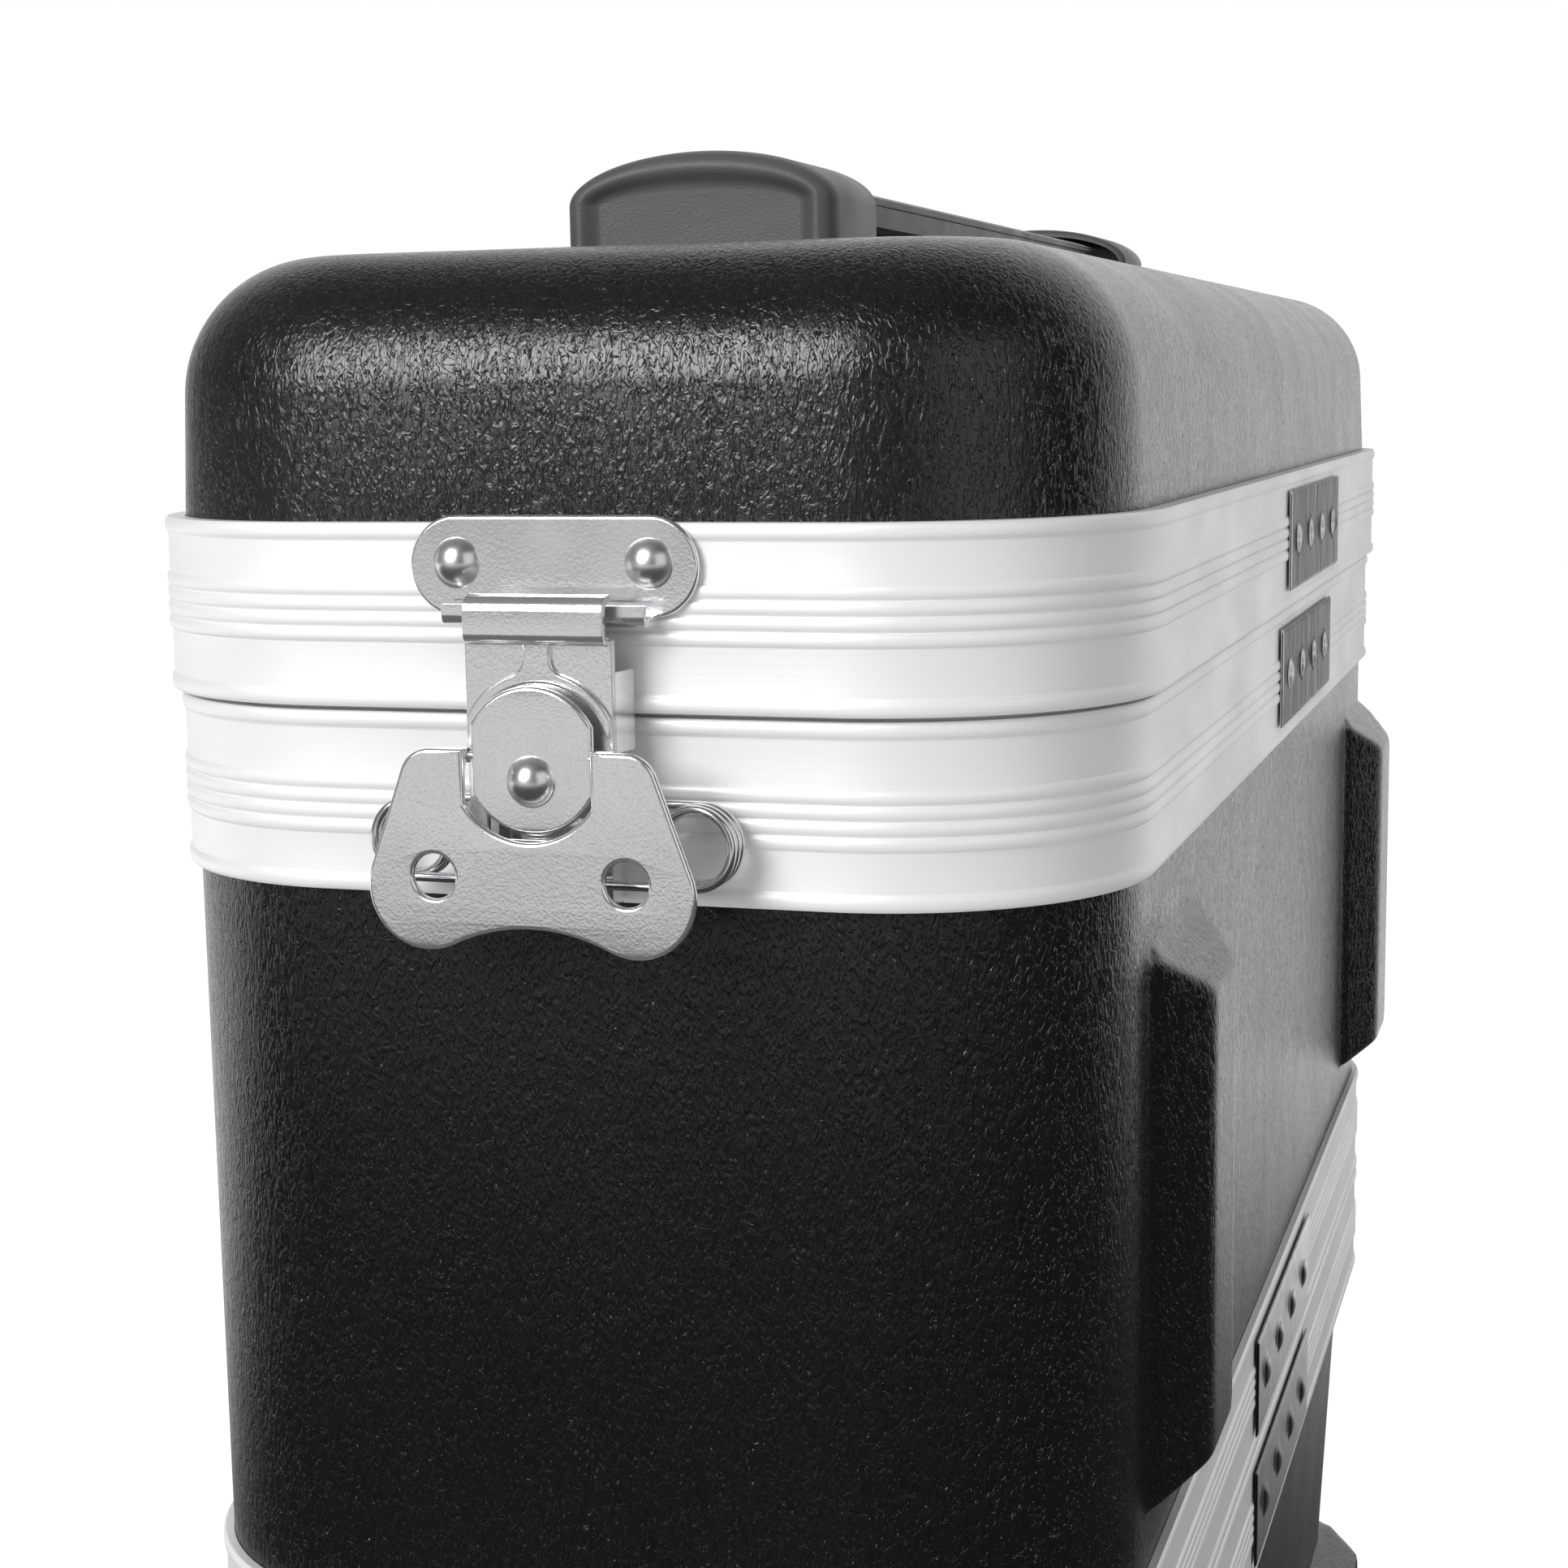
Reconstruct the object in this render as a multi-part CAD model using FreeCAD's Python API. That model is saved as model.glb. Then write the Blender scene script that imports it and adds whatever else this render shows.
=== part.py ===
import FreeCAD, Part
import math
import os
from FreeCAD import Vector

# Wireless microphone case: moulded lid, body and base shells whose edges are capped by ribbed
# aluminium valances, held together by twist latches at both narrow ends, with a carry handle on the lid.
# Millimetres. +Z up, Y along the case, X across it, the photographed narrow end at -Y, floor at Z = 0.

# Shells
SHELL_W = 200.0            # outer width of lid and body shells
SHELL_L = 518.0            # outer length of lid and body shells
SHELL_R = 49.0             # upright corner radius, outside
WALL = 4.0
BASE_INSET = 3.5           # the base shell is narrower than the body all round
FOOT_H = 8.0
BASE_H = 185.0             # base shell floor to the lower parting
BODY_H = 218.5             # lower parting to upper parting
LID_H = 87.0               # upper parting to the lid's top
LID_EDGE_R = 27.0
BASE_EDGE_R = 28.0
BASE_DRAFT = 8.0           # the base shell narrows by this much more towards its floor
DRAFT_START = 36.5         # where it starts to, below the lower parting

# Valance extrusion
VALANCE_H = 35.5
LID_PROUD = 4.2            # how far the lid valance stands out from the shell
BODY_PROUD = 2.4           # the same for the body and base valances
PARTING_GAP = 1.0
LIP_H = 3.2
LIP_BEVEL = 0.8
RIB_COUNT = 4
RIB_PITCH = 2.9
RIB_DEPTH = 0.8
RIB_START = 12.9           # from the parting to the first rib
WEB_BOTTOM = 4.2
WEB_TOP = 6.0
LEG_T = 1.5
LEG_H = 16.0
SEAT = 0.1                 # clearance between pieces that are pressed or set together
TONGUE_IN = 1.2            # tongue's outer face, in from the body shell's face
TONGUE_T = 1.8
TONGUE_H = 2.2
GROOVE_SIDE = 0.8          # clearance beside the tongue
GASKET_T = 1.7
GASKET_SIDE = 0.1
SEAM_W = 0.4

# Stand-off bumps on the right long face
BUMP_OUT = 11.3
BUMP_W = 31.0
BUMP_SLOPE = 17.0          # run of the sides' slope
BUMP_SLOPE_TOP = 10.0
BUMP_SLOPE_LOW = 7.0
BUMP_END_NEAR = 87.0       # from the shell's near end to the middle of the near bump
BUMP_END_FAR = 61.0        # the same at the far end
BUMP_MARGIN_TOP = 17.5     # body bump's upper foot to the valance
BUMP_MARGIN_LOW = 12.0
BASE_BUMP_OUT = 5.5        # base bump's face beyond the body shell's face
BASE_BUMP_DROP = 105.0     # base valance's lower edge to the base bump's upper foot
BASE_BUMP_H = 34.0
BASE_BUMP_SLOPE_TOP = 4.0
BUMP_ROUND = 3.0
BUMP_ROOT = 12.0           # how far a bump's foot reaches into the shell

# Splice plates
SPLICE_L = 112.0
SPLICE_H = 26.0
SPLICE_T = 0.7
SPLICE_Y_UPPER = 35.0
SPLICE_Y_LOWER = 3.0
STAKE_COUNT = 4
STAKE_PITCH = 27.0
STAKE_R = 4.6
STAKE_H = 1.3

# Handle
CAP_W = 60.0
CAP_L = 35.0
CAP_H = 22.0
CAP_SIDE_H = 11.0
CAP_SHOULDER_R = 6.0
CAP_ROUND = 3.0
CAP_END = 77.0             # from the shell's end to an end cap
PANEL_DEPTH = 1.2
PANEL_MARGIN = 6.0
GRIP_W = 40.0
GRIP_T = 10.0
GRIP_UNDER = 9.0           # clear height under the grip
GRIP_ROUND = 3.5
GRIP_LIFT = 4.5
TANG_W = 24.0
TANG_T = 4.0
TANG_L = 18.0
TANG_CLEAR = 0.4
BOLT_R = 2.5
BOLT_HEAD_R = 5.0
BOLT_HEAD_H = 2.5
BOLT_SPREAD = 40.0

# Twist latch, depths measured outwards from the body valance's face
PIVOT_DROP = 10.6          # pivot below the parting
PIVOT_R = 3.0
PIN_CLEAR = 0.05
PLATE_T = 1.6
PLATE_W = 24.0
PLATE_TOP = 2.0            # latch plate's upper edge below the parting
PLATE_LOW = 35.0           # latch plate's lower edge below the parting
CHEEK_T = 1.6
CHEEK_OUT = 7.0            # height of the plate's bent-up cheeks
LINK_BACK = 9.4
LINK_T = 1.7
LINK_W = 29.0
LINK_TOP = 14.0            # above the parting
LINK_FLANGE_BACK = 2.6
LINK_FLANGE_LOW = 6.0      # flange's lower end below the parting
LINK_FLANGE_TOP = 9.0
STRAP_RAISE = 1.0
STRAP_W = 5.4
STRAP_RING_W = 2.4         # width of the strap's arms beside the disc
STRAP_ARM_LOW = 4.0        # the arms' ends above the disc's middle
HOOK_W = 27.5
HOOK_TOP = 23.0
HOOK_FRONT = 13.6
HOOK_ROUND = 2.2
ECCENTRIC = 3.5
ECCENTRIC_R = 7.0
YOKE_CLEAR = 0.95          # play of the eccentric in the link's window
YOKE_SIDE = 0.4
YOKE_BAR = 3.0             # link below its window
DISC_R = 13.6
DISC_RISE = 3.8            # disc centre above the pivot
DISC_BACK = 14.0
DISC_T = 1.8
DISC_FLAT = 12.0
HINGE_DEPTH = 15.0
HINGE_DROP = 6.2           # wing hinge below the parting
HINGE_PIN_R = 0.8
HINGE_BARREL_R = 1.5
HINGE_BARREL_IN = 12.6
HINGE_BARREL_OUT = 17.0
WING_BACK = 16.6
WING_T = 1.8
WING_TOP = 4.6             # shoulders below the parting
WING_SHOULDER = 23.5
WING_CORNER_R = 6.0
LOBE_X = 20.5
LOBE_DROP = 30.6
LOBE_R = 11.7
DIP_DROP = 37.6            # lower edge at mid width
NOTCH_R = 14.7
NOTCH_X = 12.4             # the notch's straight sides
HOLE_X = 18.9
HOLE_DROP = 28.4
HOLE_R = 4.2
WING_BEVEL = 0.5
DOME_R = 4.8
DOME_H = 3.4
RIVET_R = 2.4
RIVET_HEAD_R = 4.75
RIVET_HEAD_H = 3.0
PLATE_RIVET_X = 5.6
FLAT_MID = 28.2            # middle of the valance's outer flat, from the parting
KEEPER_W = 57.2
KEEPER_LOW = 18.2
KEEPER_TOP = 37.0
KEEPER_RIVET_X = 19.05
LIP_W = 40.0
LIP_FRONT = 9.0
LIP_TOP = 21.0
LIP_T = 1.4

# Latch spring
WIRE_D = 1.8
COIL_X = 28.4
COIL_DROP = 23.3
COIL_R = 7.2
COIL_PITCH = 2.35
COIL_TURNS = 2.5
COIL_BACK = 2.6            # depth of the wire where it leaves the latch plate

# Inside
PANEL_T = 5.0
LINER_CLEAR = 0.4
BODY_FOAM_DROP = 24.0      # foam's top below the upper parting
FOAM_FLOOR = 30.0
RECEIVER_L = 218.0
RECEIVER_W = 78.0
RECEIVER_DEEP = 135.0
RECEIVER_R = 8.0
RECEIVER_PITCH = 92.0
RECEIVER_Y = -124.0
MIC_L = 224.0
MIC_W = 38.0
MIC_DEEP = 62.0
MIC_COUNT = 4
MIC_PITCH = 46.0
MIC_Y = 124.0
LID_FOAM_T = 24.0
BASE_FOAM_T = 15.0
FOOT_R = 15.0
FOOT_TAPER = 3.0
FOOT_SIDE = 56.0           # from the shell's side to a foot's middle
FOOT_END = 64.0            # from the shell's end to a foot's middle
SCREW_R = 2.5
SCREW_HEAD_R = 5.0
SCREW_HEAD_H = 2.0
FOOT_WELL = 4.0

# Levels and the shift that puts the origin under the middle of the whole box
FLOOR_Z = FOOT_H
LOWER_Z = FLOOR_Z + BASE_H
UPPER_Z = LOWER_Z + BODY_H
TOP_Z = UPPER_Z + LID_H
HALF_W = SHELL_W / 2
HALF_L = SHELL_L / 2
CAP_SPAN = SHELL_L - 2 * CAP_END
BUMP_Y_NEAR = BUMP_END_NEAR - HALF_L
BUMP_Y_FAR = HALF_L - BUMP_END_FAR
FOOT_X = HALF_W - FOOT_SIDE
FOOT_Y = HALF_L - FOOT_END
X_SHIFT = -(BUMP_OUT - LID_PROUD) / 2
LATCH_FACE = HALF_L + BODY_PROUD
EDGE_RISE = WEB_TOP + SEAT
SAME = 1e-4                # lengths nearer than this count as equal

os.makedirs("parts", exist_ok=True)
made = []


def export(shape, name):
    """Write one node, checked and moved to the part's own frame."""
    solid = shape.copy()
    solid.translate(Vector(X_SHIFT, 0, 0))
    if not solid.isValid():
        raise ValueError(name + " is not valid")
    solid.exportStep("parts/" + name + ".step")
    made.append((name, len(solid.Solids), round(solid.Volume, 1)))


def oval_wire(half_x, half_y, radius, z, x=0.0, y=0.0):
    """A rectangle with round corners, drawn from the middle of its +X side."""
    kx = half_x - radius
    ky = half_y - radius
    diag = radius * math.sqrt(0.5)
    edges = [Part.LineSegment(Vector(x + half_x, y, z), Vector(x + half_x, y + ky, z)).toShape()]
    corners = ((1, 1), (-1, 1), (-1, -1), (1, -1))
    for index, (sx, sy) in enumerate(corners):
        side = Vector(x + sx * half_x, y + sy * ky, z)
        end = Vector(x + sx * kx, y + sy * half_y, z)
        middle = Vector(x + sx * (kx + diag), y + sy * (ky + diag), z)
        first, last = (side, end) if index % 2 == 0 else (end, side)
        edges.append(Part.Arc(first, middle, last).toShape())
        if index == 0:
            after = Vector(x - kx, y + half_y, z)
        elif index == 1:
            after = Vector(x - half_x, y - ky, z)
        elif index == 2:
            after = Vector(x + kx, y - half_y, z)
        else:
            after = Vector(x + half_x, y, z)
        edges.append(Part.LineSegment(last, after).toShape())
    return Part.Wire(edges)


def prism(half_x, half_y, radius, low, high, x=0.0, y=0.0):
    """An upright block with round corners."""
    face = Part.Face(oval_wire(half_x, half_y, radius, low, x, y))
    return face.extrude(Vector(0, 0, high - low))


def edges_at(shape, z):
    """The edges of a shape that lie at one height."""
    found = []
    for edge in shape.Edges:
        box = edge.BoundBox
        if abs(box.ZMin - z) < SAME and abs(box.ZMax - z) < SAME:
            found.append(edge)
    return found


def lid_tub(low, high):
    """Outside and hollow of the lid, closed at the top, whose edge is rounded inside and out."""
    walls = []
    for deep in (0.0, WALL):
        block = prism(HALF_W - deep, HALF_L - deep, SHELL_R - deep, low - deep, high - deep)
        walls.append(block.makeFillet(LID_EDGE_R - deep, edges_at(block, high - deep)))
    return walls


def base_inset(z):
    """How far the base shell's face lies inside the body shell's at one height."""
    start = LOWER_Z - DRAFT_START
    return BASE_INSET + BASE_DRAFT * max(0.0, start - z) / (start - FLOOR_Z)


def base_tub(low, high):
    """Outside and hollow of the base: upright behind its valance, then drafted down to a rounded floor edge."""
    walls = []
    for deep in (0.0, WALL):
        wires = []
        for z in (low + deep, LOWER_Z - DRAFT_START, high + deep):
            inset = base_inset(z) + deep
            wires.append(oval_wire(HALF_W - inset, HALF_L - inset, SHELL_R - inset, z))
        block = Part.makeLoft(wires, True, True)
        walls.append(block.makeFillet(BASE_EDGE_R - deep, edges_at(block, low + deep)))
    return walls


def bump(y, low, high, face_x, out, slope_top):
    """A moulded stand-off on a shell's face, given by its foot: sloping sides and rounded outer edges."""
    wires = []
    for part in (0.0, 1.0):
        half = BUMP_W / 2 + BUMP_SLOPE * (1 - part)
        x = face_x + out * part
        bottom = low + BUMP_SLOPE_LOW * part
        top = high - slope_top * part
        points = [Vector(x, y - half, bottom), Vector(x, y + half, bottom), Vector(x, y + half, top),
                  Vector(x, y - half, top)]
        wires.append(Part.makePolygon(points + points[:1]))
    block = Part.makeLoft(wires, True, True)
    outer = [edge for edge in block.Edges if edge.BoundBox.XMax > face_x + WALL]
    block = block.makeFillet(BUMP_ROUND, outer)
    width = BUMP_W + 2 * BUMP_SLOPE
    root = Part.makeBox(BUMP_ROOT, width, high - low, Vector(face_x - BUMP_ROOT, y - width / 2, low))
    return block.fuse(root)


def valance_section(proud, shell_in, tongue):
    """Half of the closing profile as (out, up): out from the body shell's face, up from the parting."""
    flat = proud - RIB_DEPTH
    low = PARTING_GAP / 2
    outline = [(shell_in + SEAT, VALANCE_H), (proud - LIP_BEVEL, VALANCE_H), (proud, VALANCE_H - LIP_BEVEL),
               (proud, VALANCE_H - LIP_H + LIP_BEVEL), (flat, VALANCE_H - LIP_H)]
    for rib in reversed(range(RIB_COUNT)):
        start = RIB_START + rib * RIB_PITCH
        outline += [(flat, start + RIB_PITCH), (proud, start + RIB_PITCH / 2)]
    outline += [(flat, RIB_START), (flat, low + LIP_H), (proud, low + LIP_H - LIP_BEVEL),
                (proud, low + LIP_BEVEL), (proud - LIP_BEVEL, low)]
    tongue_out = -TONGUE_IN
    tongue_in = -TONGUE_IN - TONGUE_T
    if tongue:
        outline += [(tongue_out, low), (tongue_out, -TONGUE_H), (tongue_in, -TONGUE_H), (tongue_in, low)]
    else:
        groove_out = tongue_out + GROOVE_SIDE
        groove_in = tongue_in - GROOVE_SIDE
        outline += [(groove_out, low), (groove_out, WEB_BOTTOM), (groove_in, WEB_BOTTOM), (groove_in, low)]
    leg_out = shell_in - WALL - SEAT
    outline += [(leg_out - LEG_T, low), (leg_out - LEG_T, LEG_H), (leg_out, LEG_H), (leg_out, WEB_TOP),
                (shell_in + SEAT, WEB_TOP)]
    return outline


def sweep_round(outline, parting, up):
    """Carry an (out, up) outline round the case along the body shell's face."""
    points = [Vector(HALF_W + out, 0, parting + up * rise) for out, rise in outline]
    section = Part.makePolygon(points + points[:1])
    path = oval_wire(HALF_W, HALF_L, SHELL_R, parting)
    return path.makePipeShell([section], True, False)


def rivet_points(xs):
    """Rivet places on the valance at both narrow ends: x and the end's sign."""
    return [(x, end) for end in (-1, 1) for x in xs]


def drill(shape, xs, z, radius):
    """Drill through both narrow ends of a shell or valance."""
    for x, end in rivet_points(xs):
        start = Vector(x, end * (HALF_L - 2 * SHELL_R), z)
        shape = shape.cut(Part.makeCylinder(radius, 3 * SHELL_R, start, Vector(0, end, 0)))
    return shape


def valance(proud, shell_in, tongue, parting, up, seam_y):
    """One valance ring with its seam open under the splice plate."""
    ring = sweep_round(valance_section(proud, shell_in, tongue), parting, up)
    slit = Part.makeBox(4 * WALL, SEAM_W, 4 * VALANCE_H,
                        Vector(HALF_W - 3 * WALL, seam_y - SEAM_W / 2, parting - 2 * VALANCE_H))
    return ring.cut(slit)


def gasket(parting, up):
    """A flat rubber ring at the bottom of the groove, just above the tongue."""
    side = GROOVE_SIDE - GASKET_SIDE
    out = -TONGUE_IN + side
    inner = -TONGUE_IN - TONGUE_T - side
    outline = [(out, WEB_BOTTOM), (out, WEB_BOTTOM - GASKET_T), (inner, WEB_BOTTOM - GASKET_T),
               (inner, WEB_BOTTOM)]
    return sweep_round(outline, parting, up)


def dome(radius, height):
    """A domed rivet head standing on the XY plane."""
    ball = (radius ** 2 + height ** 2) / (2 * height)
    half = math.asin(radius / ball) / 2
    centre = height - ball
    middle = Vector(ball * math.sin(half), 0, centre + ball * math.cos(half))
    top = Vector(0, 0, height)
    rim = Vector(radius, 0, 0)
    origin = Vector(0, 0, 0)
    edges = [Part.LineSegment(origin, rim).toShape(), Part.Arc(rim, middle, top).toShape(),
             Part.LineSegment(top, origin).toShape()]
    return Part.Face(Part.Wire(edges)).revolve(origin, Vector(0, 0, 1), 360)


def splice(seam_y, parting, up, proud):
    """A sprung plate over a valance seam, with a row of pressed stakes."""
    face_x = HALF_W + proud - RIB_DEPTH / 2
    middle = parting + up * (VALANCE_H + PARTING_GAP / 2) / 2
    plate = Part.makeBox(SPLICE_T, SPLICE_L, SPLICE_H,
                         Vector(HALF_W + proud + SEAT, seam_y - SPLICE_L / 2, middle - SPLICE_H / 2))
    for index in range(STAKE_COUNT):
        y = seam_y + (index - (STAKE_COUNT - 1) / 2) * STAKE_PITCH
        stake = dome(STAKE_R, STAKE_H)
        stake.rotate(Vector(0, 0, 0), Vector(0, 1, 0), 90)
        stake.translate(Vector(face_x + RIB_DEPTH / 2 + SEAT + SPLICE_T, y, middle))
        plate = plate.fuse(stake)
    return plate


def depth_plate(wire, thick):
    """Thicken a flat outline drawn in the XZ plane outwards, along -Y."""
    return Part.Face(wire).extrude(Vector(0, -thick, 0))


def at_depth(x, z, depth):
    """A point of the front latch: across, above the parting, out from the valance's face."""
    return Vector(x, -depth, z)


def peg(x, z, radius, back, front):
    """A round peg that points straight out of the case's end."""
    return Part.makeCylinder(radius, front - back, at_depth(x, z, back), Vector(0, -1, 0))


def slab(half_w, low, high, back, front, x=0.0):
    """A plain block of the latch."""
    corner = Vector(x - half_w, -front, low)
    return Part.makeBox(2 * half_w, front - back, high - low, corner)


def profile_bar(points, half_w):
    """A (depth, z) outline carried across the latch."""
    vectors = [at_depth(-half_w, z, depth) for depth, z in points]
    return Part.Face(Part.makePolygon(vectors + vectors[:1])).extrude(Vector(2 * half_w, 0, 0))


def out_head(radius, height, x, z, depth):
    """A domed head that faces out of the case's end."""
    head = dome(radius, height)
    head.rotate(Vector(0, 0, 0), Vector(1, 0, 0), 90)
    head.translate(at_depth(x, z, depth))
    return head


def latch_plate():
    """Channel that is riveted to the valance: back plate with two bent-up cheeks."""
    half = PLATE_W / 2
    plate = slab(half, -PLATE_LOW, -PLATE_TOP, SEAT, PLATE_T)
    for side in (-1, 1):
        cheek = slab(CHEEK_T / 2, -PLATE_LOW, -PLATE_TOP, SEAT, CHEEK_OUT, side * (half - CHEEK_T / 2))
        plate = plate.fuse(cheek)
    plate = plate.cut(peg(0, -PIVOT_DROP, PIVOT_R + PIN_CLEAR, 0, CHEEK_OUT))
    for x in (-PLATE_RIVET_X, PLATE_RIVET_X):
        plate = plate.cut(peg(x, -FLAT_MID, RIVET_R + PIN_CLEAR, 0, CHEEK_OUT))
    return plate.removeSplitter()


def link():
    """Hooked link: windowed plate with bent-back flanges, raised strap and a rolled cap."""
    half = LINK_W / 2
    front = LINK_BACK + LINK_T
    middle = -PIVOT_DROP - ECCENTRIC
    window_half = ECCENTRIC_R + YOKE_CLEAR
    low = middle - window_half - YOKE_BAR
    body = slab(half, low, LINK_TOP, LINK_BACK, front)
    for side in (-1, 1):
        flange = slab(LINK_T / 2, -LINK_FLANGE_LOW, LINK_FLANGE_TOP, LINK_FLANGE_BACK, front,
                      side * (half - LINK_T / 2))
        body = body.fuse(flange)
    raised = front + STRAP_RAISE
    disc_z = -PIVOT_DROP + DISC_RISE
    ring = peg(0, disc_z, DISC_R + STRAP_RING_W, front, raised).cut(peg(0, disc_z, DISC_R - STRAP_RING_W, 0, raised))
    strap = ring.common(slab(half, disc_z + STRAP_ARM_LOW, LINK_TOP, front, raised))
    strap = strap.fuse(slab(STRAP_W / 2, disc_z + DISC_R, LINK_TOP, front, raised))
    body = body.fuse(strap)
    cap = [(LINK_BACK, LINK_TOP), (LINK_BACK, LINK_TOP - LINK_T), (HOOK_FRONT, LINK_TOP - LINK_T),
           (HOOK_FRONT, HOOK_TOP - HOOK_ROUND), (HOOK_FRONT - HOOK_ROUND, HOOK_TOP), (LINK_BACK, HOOK_TOP),
           (LINK_BACK, HOOK_TOP - LINK_T), (HOOK_FRONT - HOOK_ROUND, HOOK_TOP - LINK_T),
           (HOOK_FRONT - LINK_T, HOOK_TOP - HOOK_ROUND - LINK_T / 2), (HOOK_FRONT - LINK_T, LINK_TOP)]
    body = body.fuse(profile_bar(cap, HOOK_W / 2))
    reach = ECCENTRIC_R + ECCENTRIC + YOKE_SIDE
    window = slab(reach, middle - window_half, middle + window_half, LINK_BACK, raised)
    return body.cut(window).removeSplitter()


def cam():
    """Turning disc with its eccentric behind and a hinge pin on each side for the wing."""
    disc = peg(0, -PIVOT_DROP + DISC_RISE, DISC_R, DISC_BACK, DISC_BACK + DISC_T)
    disc = disc.common(slab(DISC_FLAT, -3 * DISC_R, 3 * DISC_R, DISC_BACK, DISC_BACK + DISC_T))
    lobe = peg(0, -PIVOT_DROP - ECCENTRIC, ECCENTRIC_R, LINK_BACK, DISC_BACK)
    body = disc.fuse(lobe)
    for side in (-1, 1):
        start = at_depth(side * (DISC_FLAT - HINGE_PIN_R), -HINGE_DROP, HINGE_DEPTH)
        length = HINGE_BARREL_OUT - DISC_FLAT
        body = body.fuse(Part.makeCylinder(HINGE_PIN_R, length, start, Vector(side, 0, 0)))
    bore = peg(0, -PIVOT_DROP, PIVOT_R + SEAT, LINK_BACK, DISC_BACK + DISC_T)
    return body.cut(bore).removeSplitter()


def pivot():
    """Rivet through the cam and the latch plate, with a domed head in front."""
    front = DISC_BACK + DISC_T
    shank = peg(0, -PIVOT_DROP, PIVOT_R, SEAT, front)
    return shank.fuse(out_head(DOME_R, DOME_H, 0, -PIVOT_DROP, front)).removeSplitter()


def tangent_from(point, centre, radius, side):
    """Where a line from a point touches a circle, on the chosen side; all as (x, z) pairs."""
    dx = centre[0] - point[0]
    dz = centre[1] - point[1]
    far = math.hypot(dx, dz)
    base = math.atan2(dz, dx)
    lean = math.asin(radius / far)
    run = math.sqrt(far ** 2 - radius ** 2)
    angle = base + side * lean
    return (point[0] + run * math.cos(angle), point[1] + run * math.sin(angle))


def on_circle(centre, radius, angle):
    """A point of a circle in the XZ plane as an (x, z) pair."""
    return (centre[0] + radius * math.cos(angle), centre[1] + radius * math.sin(angle))


def wing_outline():
    """Butterfly outline: shoulders, straight flanks, two round lobes, a hollow lower edge and the notch."""
    lobe = (LOBE_X, -LOBE_DROP)
    drop = DIP_DROP - LOBE_DROP
    dip_r = (LOBE_X ** 2 + drop ** 2 - LOBE_R ** 2) / (2 * (LOBE_R - drop))
    dip = (0.0, -DIP_DROP - dip_r)
    disc = (0.0, -PIVOT_DROP + DISC_RISE)
    corner = (WING_SHOULDER, -WING_TOP)
    flank = tangent_from(corner, lobe, LOBE_R, 1)
    fall = math.atan2(flank[1] - corner[1], flank[0] - corner[0])
    half_turn = (math.pi + fall) / 2
    run = WING_CORNER_R / math.tan(half_turn)
    shoulder = (corner[0] - run, corner[1])
    rounded = (corner[0] + run * math.cos(fall), corner[1] + run * math.sin(fall))
    hub = (shoulder[0], shoulder[1] - WING_CORNER_R)
    round_mid = on_circle(hub, WING_CORNER_R, half_turn)
    towards = math.atan2(dip[1] - lobe[1], dip[0] - lobe[0])
    inner = on_circle(lobe, LOBE_R, towards)
    start = math.atan2(flank[1] - lobe[1], flank[0] - lobe[0])
    outer_mid = on_circle(lobe, LOBE_R, (start + towards) / 2)
    notch = (NOTCH_X, -WING_TOP)
    notch_end = (NOTCH_X, disc[1] - math.sqrt(NOTCH_R ** 2 - NOTCH_X ** 2))

    def pt(pair, side=1):
        return at_depth(side * pair[0], pair[1], WING_BACK)

    edges = []
    for side in (1, -1):
        edges.append(Part.LineSegment(pt(notch_end, side), pt(notch, side)).toShape())
        edges.append(Part.LineSegment(pt(notch, side), pt(shoulder, side)).toShape())
        edges.append(Part.Arc(pt(shoulder, side), pt(round_mid, side), pt(rounded, side)).toShape())
        edges.append(Part.LineSegment(pt(rounded, side), pt(flank, side)).toShape())
        edges.append(Part.Arc(pt(flank, side), pt(outer_mid, side), pt(inner, side)).toShape())
    edges.append(Part.Arc(pt(inner), pt((0.0, -DIP_DROP)), pt(inner, -1)).toShape())
    edges.append(Part.Arc(pt(notch_end), pt((0.0, disc[1] - NOTCH_R)), pt(notch_end, -1)).toShape())
    return Part.Wire(Part.__sortEdges__(edges))


def wing():
    """Folding thumb wing with two holes and a hinge barrel at each shoulder."""
    plate = depth_plate(wing_outline(), WING_T)
    rim = [edge for edge in plate.Edges
           if abs(edge.BoundBox.YMin + WING_BACK + WING_T) < SAME
           and abs(edge.BoundBox.YMax + WING_BACK + WING_T) < SAME]
    plate = plate.makeChamfer(WING_BEVEL, rim)
    for x in (-HOLE_X, HOLE_X):
        plate = plate.cut(peg(x, -HOLE_DROP, HOLE_R, WING_BACK - WING_T, WING_BACK + 2 * WING_T))
    length = HINGE_BARREL_OUT - HINGE_BARREL_IN
    for side in (-1, 1):
        start = at_depth(side * HINGE_BARREL_IN, -HINGE_DROP, HINGE_DEPTH)
        barrel = Part.makeCylinder(HINGE_BARREL_R, length, start, Vector(side, 0, 0))
        middle = side * (HINGE_BARREL_IN + HINGE_BARREL_OUT) / 2
        knuckle = slab(length / 2, -HINGE_DROP - HINGE_BARREL_R, -HINGE_DROP + HINGE_BARREL_R, HINGE_DEPTH,
                       WING_BACK + WING_T / 2, middle)
        plate = plate.fuse(barrel).fuse(knuckle)
    for side in (-1, 1):
        start = at_depth(side * (HINGE_BARREL_IN - HINGE_PIN_R), -HINGE_DROP, HINGE_DEPTH)
        bore = Part.makeCylinder(HINGE_PIN_R + PIN_CLEAR, length + 2 * HINGE_PIN_R, start, Vector(side, 0, 0))
        plate = plate.cut(bore)
    return plate.removeSplitter()


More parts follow.
